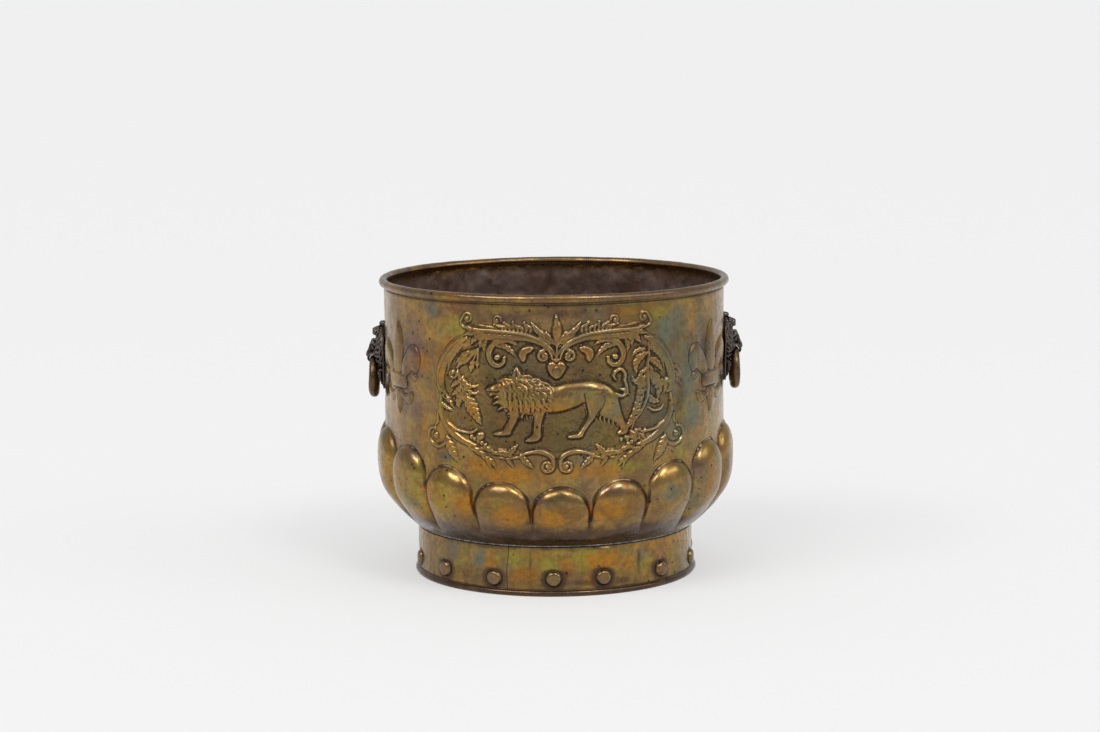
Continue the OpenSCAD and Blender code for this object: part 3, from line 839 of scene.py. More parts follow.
def patches(mesh, table, arc, z, extra, plain=0.0):
    """Carries how strong each tone is. extra is darkness that isn't in the table. Where plain is 1,
    there are no patches but an even dull brown."""
    for tone, blots in table.items():
        share = np.zeros(arc.shape)
        for s, height, wide, high, strength in blots:
            blot = np.exp(-((arc - s) / wide) ** 2 - ((z - height) / high) ** 2)
            share = np.maximum(share, strength * blot)
        share = share * (1 - plain)
        least = {"dark": extra, "plum": 0.5 * plain}.get(tone, 0.0)
        carry(mesh, tone, np.maximum(share, least))


def pot_wall(material):
    """The whole raised sheet: outer wall with its ornament, rim bead, lining and flange."""
    A, Z, spots, r, z, nr, nz, kind = spread(wall_profile(), wall_columns())
    # the front's scene is repeated on the back
    front = np.where(np.abs(A) <= math.pi / 2, A, A - math.pi)
    arc = front * WALL_R
    lobe, crease = gadroons(A, Z)
    scene = cartouche()
    lily = fleur()
    fleur_arc = FLEUR_TURN * WALL_R
    height = lobe
    # painted shade along the creases between the lobes and their second chased line
    cavity = crease * 0.95
    # painted highlight on the lobes' round tops
    polish = np.clip(lobe / 8, 0, 1) * 0.25
    carried = {"field": sample(scene, scene.field, arc, Z), "relief": sample(scene, scene.raised, arc, Z)}
    for art, where in ((scene, arc), (lily, arc - fleur_arc), (lily, -arc - fleur_arc)):
        height = height + sample(art, art.height, where, Z)
        cavity = np.maximum(cavity, sample(art, art.cavity, where, Z))
        polish = np.maximum(polish, sample(art, art.polish, where, Z))
    height = height - 0.6 * crease
    dents = 0.30 * waves(3, spots, 14, 150, 34) + 0.05 * waves(4, spots, 18, 16, 8)
    # the sheet is stiff at the rim and the foot
    dents = dents * smoothstep(276, 262, Z) * smoothstep(47, 58, Z)
    under_bead = np.exp(-((Z - BEAD_GROOVE_Z) / 1.1) ** 2)
    is_outer = kind == "outer"
    is_inner = kind == "inner"
    is_bead = kind == "bead"
    soft_art = lobe + 0.7 * sample(scene, blur(scene.height, 6), arc, Z)
    hammered = 0.12 * waves(8, spots, 30, 15, 7)
    move = np.where(is_outer, height + dents - 0.5 * under_bead, 0)
    move = np.where(is_inner, soft_art + dents + hammered, move)
    move = np.where(is_bead, 0.10 * waves(9, spots, 10, 60, 14), move)
    move = move * smoothstep(FOOT_TOP - 1, FOOT_TOP + 3, Z)
    places = turned(r + move * nr, z + move * nz, A)
    mesh = grid_mesh("pot_wall", places)
    # painted shade in hollows and creases, and a painted shadow line under the rim bead
    carry(mesh, "cavity", np.where(is_outer, np.maximum(cavity, 0.9 * under_bead), 0))
    # painted highlight, with some wear, on the raised tops
    carry(mesh, "polish", np.where(is_outer, polish, np.where(is_bead, 0.12, 0)))
    for name, values in carried.items():
        carry(mesh, name, np.where(is_outer, values, 0))
    # painted shade under the bowl, darkest towards the foot, with grime there too; the rim bead darker all
    # over
    under = 1.1 * smoothstep(80, 57, Z) * is_outer + 0.35 * is_bead
    patches(mesh, WALL_PATCHES, A * WALL_R, Z, under, 1.0 * is_bead)
    inside = np.where(is_inner, smoothstep(276, 266, Z), np.where(kind == "flange", 1.0, 0.0))
    carry(mesh, "inside", inside + 0 * A)
    return put("pot_wall", mesh, POT, ["body_wall"], material)


# ---------------------------------------------------------------- the foot and floor

FOOT_COLUMNS = 1150
BOSSES = 14
BOSS_R = 7.1
BOSS_H = 3.2
BOSS_Z = 16.0
# degrees by which some bosses are off even spacing, counted from the front towards the right mask
BOSS_SHIFTS = {0: -1.0, 1: -6.2, 2: -3.4}


def bumps(angle, z):
    """Height of the foot's bosses, and the chased ring round each of them."""
    pitch = 2 * math.pi / BOSSES
    lift = np.random.default_rng(21).uniform(-0.9, 0.9, BOSSES)
    away = np.full(angle.shape, 99.0)
    for k in range(BOSSES):
        place = pitch * k + math.radians(BOSS_SHIFTS.get(k, 0.0))
        turn = (angle - place + math.pi) % (2 * math.pi) - math.pi
        away = np.minimum(away, np.hypot(turn * FOOT_R, z - BOSS_Z - lift[k]))
    dome = np.sqrt(np.clip(1 - (away / BOSS_R) ** 4.5, 0, 1)) * BOSS_H
    ring = np.exp(-((away - BOSS_R - 0.8) / 0.8) ** 2)
    swell = 0.5 * np.exp(-(away / 11) ** 4)
    return dome + swell, ring


def foot(material):
    """The foot's band: a thin shell with bosses, lapped joints and a rolled lower edge."""
    rows = []
    inner_r = FOOT_R - SHEET
    bead_z, bead_r = 2.8, 3.1
    for z in np.linspace(bead_z + 3, FOOT_TOP - 0.8, 62):
        rows.append((FOOT_R, z, 1.0, 0.0, "outer"))
    rows.append((FOOT_R - 1.2, FOOT_TOP, 0, 0, "top"))
    rows.append((FLANGE_R, FOOT_TOP, 0, 0, "top"))
    rows.append((FLANGE_R, FOOT_TOP - SHEET, 0, 0, "top"))
    rows.append((inner_r - 0.3, FOOT_TOP - SHEET, 0, 0, "top"))
    for z in np.linspace(FOOT_TOP - 2, bead_z + 3.4, 30):
        rows.append((inner_r, z, 1.0, 0.0, "inner"))
    for turn in np.radians(np.linspace(130, 410, 22)):
        z = max(bead_z + bead_r * math.sin(turn), 0.0)
        rows.append((FOOT_R + 0.1 + bead_r * math.cos(turn), z, math.cos(turn), 0.0, "bead"))
    angle = np.linspace(-math.pi, math.pi, FOOT_COLUMNS, endpoint=False)
    A, Z, spots, r, z, nr, _, kind = spread(rows, angle)
    height, ring = bumps(A, Z)
    arc = A * FOOT_R
    dents = 0.35 * waves(31, spots, 12, 90, 24) + 0.06 * waves(32, spots, 14, 12, 6)
    seam = np.zeros(A.shape)
    step = np.zeros(A.shape)
    # lapped joints: angle from the front, lean, depth
    for place, lean, deep in ((-20, 0.05, 1.0), (4.6, -0.04, 0.45), (151, 0.03, 1.0)):
        offset = arc - math.radians(place) * FOOT_R - lean * (Z - 20) - 0.5 * np.sin(Z / 5)
        seam = np.maximum(seam, deep * np.exp(-(offset / 0.55) ** 2))
        step = step + deep * 0.55 * np.exp(-np.clip(offset, 0, None) / 7) * (offset > 0)
    fade = smoothstep(5.4, 9.5, Z) * smoothstep(FOOT_TOP - 0.5, FOOT_TOP - 4, Z)
    move = np.where(kind == "outer", (height + dents - 0.5 * ring) * fade + step - 0.35 * seam, 0)
    move = np.where(kind == "inner", (height + dents) * fade, move)
    move = np.where(kind == "bead", 0.08 * waves(33, spots, 8, 40, 12) - 0.3 * seam, move)
    move = move * np.where(Z < 0.6, 0, 1)
    mesh = grid_mesh("foot_band_skin", turned(r + move * nr, z, A))
    # painted shadow line in the crevice above the rolled bead
    under_edge = np.exp(-((Z - 6.0) / 0.9) ** 2)
    # painted shade in the chased rings round the bosses, under the bowl at the band's top and above the bead;
    # the lapped seams are dark joints
    dark = np.maximum(np.maximum(ring, seam), 0.8 * under_edge)
    dark = np.maximum(dark, smoothstep(FOOT_TOP - 1.6, FOOT_TOP - 0.9, Z))
    carry(mesh, "cavity", np.where((kind == "outer") | (kind == "top"), dark, 0))
    # painted highlight, with some wear, on the bosses' domes
    shine = np.clip(height / BOSS_H, 0, 1) * 0.5
    carry(mesh, "polish", np.where(kind == "outer", shine, 0))
    # darker towards the bottom edge, and painted shade at the band's top under the bowl
    darker_ends = 1.0 * smoothstep(8, 4, Z) + 0.5 * smoothstep(FOOT_TOP - 7, FOOT_TOP, Z)
    # painted shadow in the skirt round each boss, fading out above the bosses
    shadow_round_bosses = 0.9 * np.exp(-((height - 0.35) / 0.35) ** 2) * smoothstep(30, 22, Z)
    patches(mesh, FOOT_PATCHES, arc, Z, np.maximum(darker_ends, shadow_round_bosses), smoothstep(0.8, 2.0, height))
    carry(mesh, "inside", np.where(kind == "inner", 1.0, 0) + 0 * A)
    return put("foot_band_skin", mesh, POT, ["foot_band"], material)


def floor_disc(material):
    """Hammered floor of the pot, lying on the bowl's flange."""
    rows = [(r, FLOOR_Z + SHEET, 1.0) for r in np.linspace(0.8, DISC_R, 90)]
    rows += [(r, FLOOR_Z, 0.0) for r in np.linspace(DISC_R, 0.8, 12)]
    A, _, spots, r, z, top = spread(rows, np.linspace(math.pi, -math.pi, 360, endpoint=False))
    hammered = 0.16 * waves(41, spots, 36, 22, 9)
    move = top * hammered * smoothstep(DISC_R, DISC_R - 8, r)
    mesh = grid_mesh("floor_disc", turned(r + 0 * A, z + move, A), closed_rows=False)
    carry(mesh, "inside", np.ones(A.shape))
    form = bmesh.new()
    form.from_mesh(mesh)
    bmesh.ops.holes_fill(form, edges=[e for e in form.edges if e.is_boundary], sides=0)
    form.to_mesh(mesh)
    form.free()
    return put("floor_disc", mesh, POT, ["base_disc"], material)


# ---------------------------------------------------------------- masks, carved as a distance field

VOXEL = 0.42
# the masks' back plane, and the rings' hinge axes
PLANE_X = 161.55
AXIS_X = 172.2
AXIS_Z = {"left": 203.5, "right": 209.5}
RING_R = 16.0
ROD_R = 4.0
# a little more than the rings' swing
SWEEP = (math.radians(-4), math.radians(118))


class Clay:
    """Distance field of one mask, in millimetres: u out from the wall, v across, w up from the hinge."""

    def __init__(self):
        self.u = np.arange(-1.0, 20.0, VOXEL)
        self.v = np.arange(-27.0, 27.0 + VOXEL, VOXEL)
        self.w = np.arange(-32.0, 40.0, VOXEL)
        self.places = np.meshgrid(self.u, self.v, self.w, indexing="ij")
        self.origin = np.array([self.u[0], self.v[0], self.w[0]])
        self.field = np.full(self.places[0].shape, 30.0)

    def box(self, low, high):
        """The part of the field between two corners, and its places."""
        cuts = []
        for axis, a, b in zip((self.u, self.v, self.w), low, high):
            cuts.append(slice(*np.clip(np.searchsorted(axis, (a, b)), 0, len(axis))))
        cuts = tuple(cuts)
        return cuts, [values[cuts] for values in self.places]

    def blend(self, cuts, distance, soft, carve=False):
        """Joins a shape on, or carves it out, with a soft edge between the two."""
        sign = -1 if carve else 1
        here = sign * self.field[cuts]
        gap = np.clip(soft - np.abs(here - distance), 0, None)
        self.field[cuts] = sign * (np.minimum(here, distance) - gap * gap / (4 * soft))

    def ball(self, centre, radii, soft=1.0, carve=False, tilt=0.0):
        """An ellipsoid. tilt turns it about the v axis, in degrees."""
        reach = max(radii) + 2.5
        cuts, (u, v, w) = self.box([c - reach for c in centre], [c + reach for c in centre])
        du, dv, dw = u - centre[0], v - centre[1], w - centre[2]
        c, s = math.cos(math.radians(tilt)), math.sin(math.radians(tilt))
        du, dw = du * c + dw * s, dw * c - du * s
        a, b, d = radii
        q = np.sqrt((du / a) ** 2 + (dv / b) ** 2 + (dw / d) ** 2)
        grow = np.sqrt((du / a ** 2) ** 2 + (dv / b ** 2) ** 2 + (dw / d ** 2) ** 2)
        self.blend(cuts, q * (q - 1) / np.maximum(grow, 1e-6), soft, carve)

    def rod(self, points, radii, soft=0.6, carve=False):
        """A lock or lip: round-ended, its radius changing from point to point."""
        for a, b, ra, rb in zip(points, points[1:], radii, radii[1:]):
            a, b = np.array(a, float), np.array(b, float)
            reach = max(ra, rb) + 2
            cuts, (u, v, w) = self.box(np.minimum(a, b) - reach, np.maximum(a, b) + reach)
            run = b - a
            t = (u - a[0]) * run[0] + (v - a[1]) * run[1] + (w - a[2]) * run[2]
            t = np.clip(t / max(run @ run, 1e-9), 0, 1)
            gap = np.sqrt((u - a[0] - t * run[0]) ** 2 + (v - a[1] - t * run[1]) ** 2
                          + (w - a[2] - t * run[2]) ** 2)
            self.blend(cuts, gap - (ra + (rb - ra) * t), soft, carve)

    def pair(self, shape, *args, **kinds):
        """The same shape on both sides of the face."""
        for side in (-1, 1):
            places = np.array(args[0], float) * (1, side, 1)
            getattr(self, shape)(places.tolist(), *args[1:], **kinds)


def back_plate(clay):
    """Thin plate behind the mane: round above, narrowing to the beard."""
    u, v, w = clay.places
    crown_w, fall, crown_r, chin_r, half_thick = 8, 28, 23.6, 9.0, 1.0
    t = np.clip((crown_w - w) / fall, 0, 1)
    outline = np.hypot(v, w - (crown_w - fall * t)) - (crown_r - (crown_r - chin_r) * t)
    clay.field = np.minimum(clay.field, np.maximum(outline, np.abs(u - half_thick) - half_thick))


def face(clay):
    """Brow, eyes, nose, muzzle and jaw."""
    clay.ball((2.0, 0, 7), (9.0, 14, 18))
    clay.ball((6.0, 0, 14.5), (6.6, 9.2, 6.2), 1.5)
    clay.pair("rod", [(12.0, 1.8, 15.6), (11.2, 5.4, 17.0), (8.6, 9.2, 14.4)], (1.9, 2.0, 1.3), soft=1.0)
    clay.pair("ball", (6.5, 10.2, 6.6), (4.2, 4.0, 5.4), 1.5)
    clay.ball((10.6, 0, 2.2), (6.4, 6.3, 6.4), 1.5)
    clay.pair("ball", (12.9, 3.3, 1.4), (4.2, 3.1, 4.2), 0.8)
    clay.rod([(12.2, 0, 14.5), (13.8, 0, 9.5), (15.6, 0, 5.6)], (2.5, 2.2, 2.5), soft=0.8)
    clay.ball((16.0, 0, 4.0), (2.3, 3.2, 2.0), 0.6)
    clay.pair("ball", (17.4, 1.6, 2.7), (1.1, 0.8, 0.7), 0.3, carve=True)
    clay.pair("ball", (12.6, 5.2, 11.9), (3.2, 2.7, 2.2), 0.6, carve=True)
    clay.pair("ball", (10.6, 5.1, 11.8), (1.9, 1.9, 1.7), 0.2)
    clay.pair("rod", [(11.9, 2.6, 11.6), (12.6, 4.9, 13.4), (10.4, 7.7, 12.0)], (0.6, 0.75, 0.5), soft=0.3)
    clay.pair("rod", [(12.0, 3.0, 10.6), (12.0, 5.1, 9.9), (9.8, 7.5, 10.8)], (0.6, 0.7, 0.5), soft=0.3)
    clay.pair("rod", [(13.6, 5.4, -1.4), (10.0, 6.4, -3.6), (6.4, 7.2, -7.4)], (1.4, 1.5, 1.3), soft=0.6)
    clay.rod([(7.6, -3.3, -11.6), (8.4, 0, -11.4), (7.6, 3.3, -11.6)], (3.0, 3.2, 3.0), soft=1.0)
    clay.rod([(4.0, -5, -12), (4.4, 5, -12)], (3.4, 3.4), soft=1.2)
    for k in range(3):
        clay.pair("rod", [(14.6, 2.2 + 1.3 * k, 2.6 - k), (15.0, 3.0 + 1.2 * k, 0.6 - k)], (0.35, 0.3),
                  soft=0.2, carve=True)


def mane_locks(clay):
    """Three rows of curved locks round the face, the beard, the ears and the tuft on top."""
    rng = np.random.default_rng(71)
    # each row's count, the locks' inner and outer radius, how far out each end stands, and thickness
    rows = ((21, 11.5, 18.5, 6.6, 4.9, 1.9), (25, 15.0, 21.8, 5.0, 3.4, 1.8), (30, 18.5, 24.3, 3.4, 1.8, 1.5))
    for count, r0, r1, u0, u1, thick in rows:
        for k in range(count):
            a = 2 * math.pi * (k + rng.uniform(-0.2, 0.2)) / count
            if math.sin(a) < -0.80:
                continue
            low = 1 + 0.16 * max(0, -math.sin(a))
            points = []
            for t in (0, 0.35, 0.7, 1.0):
                bend = a + 0.30 * t * t * (1 if math.cos(a) > 0 else -1) * rng.uniform(0.3, 1.3)
                r = r0 + (r1 - r0) * t * rng.uniform(0.93, 1.02)
                points.append((u0 + (u1 - u0) * t + 0.9 * math.sin(math.pi * t),
                               r * math.cos(bend) * 0.98, 8 + r * math.sin(bend) * low))
            clay.rod(points, (thick * 0.6, thick, thick * 0.8, 0.45), soft=0.25)
    for k in range(9):
        v = -8 + 2 * k
        tip = -28.2 + 0.11 * v * v
        sway = rng.uniform(-0.8, 0.8)
        clay.rod([(4.4, 0.95 * v, -10), (4.2, 0.85 * v + sway, -17), (2.7, 0.62 * v, -23),
                  (1.4, 0.4 * v, tip)], (1.3, 1.6, 1.3, 0.5), soft=0.25)
    clay.pair("ball", (6.2, 11.6, 19.0), (2.4, 3.2, 3.6), 0.5)
    clay.pair("ball", (8.4, 11.8, 19.0), (1.9, 1.8, 2.2), 0.3, carve=True)
    clay.ball((4.6, 0, 26.2), (4.6, 9.0, 4.6), 0.8)
    for k in range(7):
        v = -7.8 + 2.6 * k
        out = 11.4 - 0.055 * v * v
        high = 30.6 - 0.07 * v * v
        clay.rod([(1.4, v * 1.1, high - 2.4), (5.4, v * 1.04, high), (out - 1.6, v, high - 2.2),
                  (out - 1.3, v * 0.9, 24.9), (out - 3.8, v * 0.85, 22.6)], (1.0, 1.6, 1.9, 1.7, 0.8),
                 soft=0.25)
    clay.rod([(0.4, 0, 34), (2.4, 0, 34)], (3.1, 2.8), soft=0.4)


def ring_room(u, v, w, spare):
    """Distance from the room that the ring's rod sweeps, grown by a spare gap."""
    out, down = u + PLANE_X - AXIS_X, -w
    turn = np.arctan2(out, down)
    reach = np.hypot(out, down)
    nearest = np.full(u.shape, 1e9)
    for choice in (np.clip(turn, *SWEEP), np.full(u.shape, SWEEP[0]), np.full(u.shape, SWEEP[1]),
                   np.clip(turn - math.pi, *SWEEP), np.clip(turn + math.pi, *SWEEP)):
        along = reach * np.cos(turn - choice)
        off = reach * np.sin(turn - choice)
        gap = np.hypot(np.hypot(along - RING_R, v) - RING_R, off) - ROD_R
        nearest = np.minimum(nearest, gap)
    return nearest - spare


def net(clay):
    """Surface of a clay's field as quads: one vertex in each cell that the surface passes through."""
    f = clay.field
    inside = f < 0
    count = np.zeros([n - 1 for n in f.shape])
    total = np.zeros(list(count.shape) + [3])
    corner = [(i, j, k) for i in (0, 1) for j in (0, 1) for k in (0, 1)]

    def at(values, c):
        return values[tuple(slice(o, o + n) for o, n in zip(c, count.shape))]

    for a in corner:
        for axis in range(3):
            if a[axis]:
                continue
            b = tuple(o + (1 if n == axis else 0) for n, o in enumerate(a))
            fa, fb = at(f, a), at(f, b)
            cross = at(inside, a) != at(inside, b)
            t = np.where(cross, fa / np.where(cross, fa - fb, 1), 0)
            for n in range(3):
                total[..., n] += np.where(cross, a[n] + (t if n == axis else 0), 0)
            count += cross
    used = count > 0
    number = np.full(count.shape, -1)
    number[used] = np.arange(used.sum())
    spots = np.argwhere(used) + total[used] / count[used][:, None]
    quads = []
    for axis in range(3):
        p, q = (axis + 1) % 3, (axis + 2) % 3
        low = [slice(1, -1)] * 3
        low[axis] = slice(0, -1)
        high = list(low)
        high[axis] = slice(1, None)
        a, b = inside[tuple(low)], inside[tuple(high)]
        for start in (True, False):
            place = np.argwhere((a == start) & (b != start))
            place = place + np.array([0 if n == axis else 1 for n in range(3)])
            back_p, back_q = np.zeros(3, int), np.zeros(3, int)
            back_p[p], back_q[q] = 1, 1
            ring = [place - back_p - back_q, place - back_q, place, place - back_p]
            if not start:
                ring.reverse()
            quads.append(np.stack([number[tuple(c.T)] for c in ring], 1))
    return clay.origin + spots * VOXEL, np.concatenate(quads)


def mask_parts():
    """Vertices, quads and crevice depth of the lion mask, for the right side at hinge height 0."""
    clay = Clay()
    back_plate(clay)
    face(clay)
    mane_locks(clay)
    u, v, w = clay.places
    # the gap round the rod is narrow in the muzzle and wider away from it
    spare = 0.25 + 0.75 * smoothstep(6, 18, np.hypot(u + PLANE_X - AXIS_X, w))
    clay.field = np.maximum(clay.field, -ring_room(u, v, w, spare))
    clay.field = np.maximum(clay.field, -u + 0.02)
    around = clay.field
    for _ in range(3):
        for axis in range(3):
            around = (np.roll(around, 1, axis) + around + np.roll(around, -1, axis)) / 3
            around = (np.roll(around, 2, axis) + around + np.roll(around, -2, axis)) / 3
    places, quads = net(clay)
    cell = tuple(np.round((places - clay.origin) / VOXEL).astype(int).T)
    # how deep in a crevice each vertex lies, which the finish turns into painted shade and a painted
    # highlight
    cavity = np.clip(0.5 - around[cell] / 0.55, 0, 1)
    return places, quads, cavity


def lion_mask(side, parts, material):
    """One mask, placed on its side of the pot."""
    places, quads, cavity = parts
    turn = SIDES[side]
    spots = np.stack([turn * (places[:, 0] + PLANE_X), turn * places[:, 1], places[:, 2] + AXIS_Z[side]], 1)
    mesh = bpy.data.meshes.new(side + "_lion_mask")
    mesh.from_pydata((spots * MM).tolist(), [], quads.tolist())
    carry(mesh, "cavity", cavity)
    return put(side + "_lion_mask", mesh, POT, [side + "_mask"], material)


def hanging_ring(side, material):
    """Ring through the muzzle: a little uneven, as a filed casting is, and worn flat where it hangs."""
    across = np.linspace(0, 2 * math.pi, 56, endpoint=False)[:, None]
    along = np.linspace(0, 2 * math.pi, 240, endpoint=False)[None, :]
    top = np.cos(along)
    flat = 0.18 * np.sin(2 * along + 0.7) * np.cos(2 * across) + 0.08 * np.sin(5 * along + 2 * across)
    worn = 0.05 * np.clip(top, 0, 1) ** 8 * np.clip(np.cos(across), 0, 1)
    rod = ROD_R - 0.03 + 0.5 * flat * (1 - top) + 0.7 * smoothstep(0.5, -0.6, top) - worn
    out = RING_R + rod * np.cos(across)
    turn = SIDES[side]
    x = rod * np.sin(across) + 0 * along
    z = out * top - RING_R + AXIS_Z[side]
    places = np.stack([turn * (x + AXIS_X), turn * out * np.sin(along), z], -1)
    mesh = grid_mesh(side + "_hanging_ring", places)
    # darker where the rod's section is pinched in: painted shade in its dents
    carry(mesh, "cavity", np.clip(0.2 - flat * 2, 0, 1) * 0.4)
    return put(side + "_hanging_ring", mesh, side + "_ring", [side + "_ring"], material)


# ---------------------------------------------------------------- finishes

class Tree:
    """Wires shader nodes together, for a material or the world."""

    def __init__(self, owner):
        owner.use_nodes = True
        self.nodes = owner.node_tree.nodes
        self.links = owner.node_tree.links

    def wire(self, source, socket):
        """Feeds a socket from another node's output, or sets it to a plain value."""
        if isinstance(source, bpy.types.NodeSocket):
            self.links.new(source, socket)
        else:
            socket.default_value = source

    def add(self, kind, inputs=(), **settings):
        """A new node. Its inputs, by name or number, are plain values or other nodes' outputs."""
        node = self.nodes.new("ShaderNode" + kind)
        for name, value in settings.items():
            setattr(node, name, value)
        for name, value in dict(inputs).items():
            self.wire(value, node.inputs[name])
        return node

    def between(self, value, low, high, out_low=0.0, out_high=1.0):
        """Smooth step of a value from low to high, given out as out_low to out_high."""
        inputs = {"Value": value, "From Min": low, "From Max": high, "To Min": out_low, "To Max": out_high}
        return self.add("MapRange", inputs, interpolation_type="SMOOTHSTEP").outputs["Result"]

    def sum(self, operation, a, b):
        """Arithmetic on two values."""
        return self.add("Math", {0: a, 1: b}, operation=operation).outputs["Value"]


class Finish(Tree):
    """Builds one procedural material node by node."""

    def __init__(self, name):
        self.material = bpy.data.materials.new(name)
        super().__init__(self.material)
        self.shader = self.nodes["Principled BSDF"]
        self.place = self.add("TexCoord").outputs["Object"]

    def noise(self, scale, detail=4.0, rough=0.55, warp=0.0, stretch=None):
        """Noise from 0 to 1. scale is in bumps per metre, and stretch scales x, y and z apart."""
        place = self.place
        if stretch:
            place = self.add("Mapping", {"Vector": place, "Scale": stretch}).outputs["Vector"]
        inputs = {"Vector": place, "Scale": scale, "Detail": detail, "Roughness": rough, "Distortion": warp}
        return self.add("TexNoise", inputs).outputs["Fac"]

    def cells(self, scale):
        """Distance to scattered points, 0 on a point."""
        return self.add("TexVoronoi", {"Vector": self.place, "Scale": scale}).outputs["Distance"]

    def carried(self, name):
        """A number stored on the mesh."""
        return self.add("Attribute", attribute_name=name).outputs["Fac"]

    def mix(self, share, a, b):
        """Mixes two colours. A plain colour is given as three numbers."""
        node = self.add("Mix", data_type="RGBA")
        self.wire(share, node.inputs["Factor"])
        colours = [s for s in node.inputs if s.type == "RGBA"]
        for source, socket in zip((a, b), colours):
            self.wire(source if isinstance(source, bpy.types.NodeSocket) else (*source, 1.0), socket)
        return [s for s in node.outputs if s.type == "RGBA"][0]

    def bump(self, height, depth_mm, onto=None):
        """A fine relief, laid over another one if that is given."""
        inputs = {"Strength": 1.0, "Distance": depth_mm * MM, "Height": height}
        if onto is not None:
            inputs["Normal"] = onto
        return self.add("Bump", inputs).outputs["Normal"]

    def done(self, colour, rough, metallic, normal):
        """Wires the shader up, and gives the material."""
        for name, value in (("Base Color", colour), ("Roughness", rough), ("Metallic", metallic),
                            ("Normal", normal)):
            self.wire(value, self.shader.inputs[name])
        return self.material


GOLD = (0.396, 0.234, 0.062)
BROWN = (0.176, 0.104, 0.041)
OLIVE = (0.189, 0.151, 0.046)
LIME = (0.306, 0.261, 0.038)
PLUM = (0.189, 0.114, 0.084)
ORANGE = (0.414, 0.180, 0.021)
RUST = (0.360, 0.110, 0.030)
TEAL = (0.132, 0.157, 0.116)
DARK = (0.070, 0.042, 0.029)
# near-black, for real soot spots and for painted shade in hollows and creases
SOOT_AND_SHADE = (0.022, 0.013, 0.011)
# pale brass for worn tops and painted highlights
WORN_HIGHLIGHT = (0.66, 0.50, 0.28)
FIELD = (0.092, 0.069, 0.032)
CHASED = (0.360, 0.202, 0.056)
LINING = (0.306, 0.219, 0.184)
# pale grey for a painted sheen on the lining
LINING_SHEEN = (0.42, 0.44, 0.50)

# each tone's tint, the size of its own clouds, how strong those are, and how strong it gets at most
TONES = (
    ("lime", LIME, 12, 0.50, 0.80), ("plum", PLUM, 10, 0.45, 0.85), ("orange", ORANGE, 15, 0.55, 0.88),
    ("teal", TEAL, 11, 0.40, 0.82), ("dark", DARK, 16, 0.45, 0.92),
)


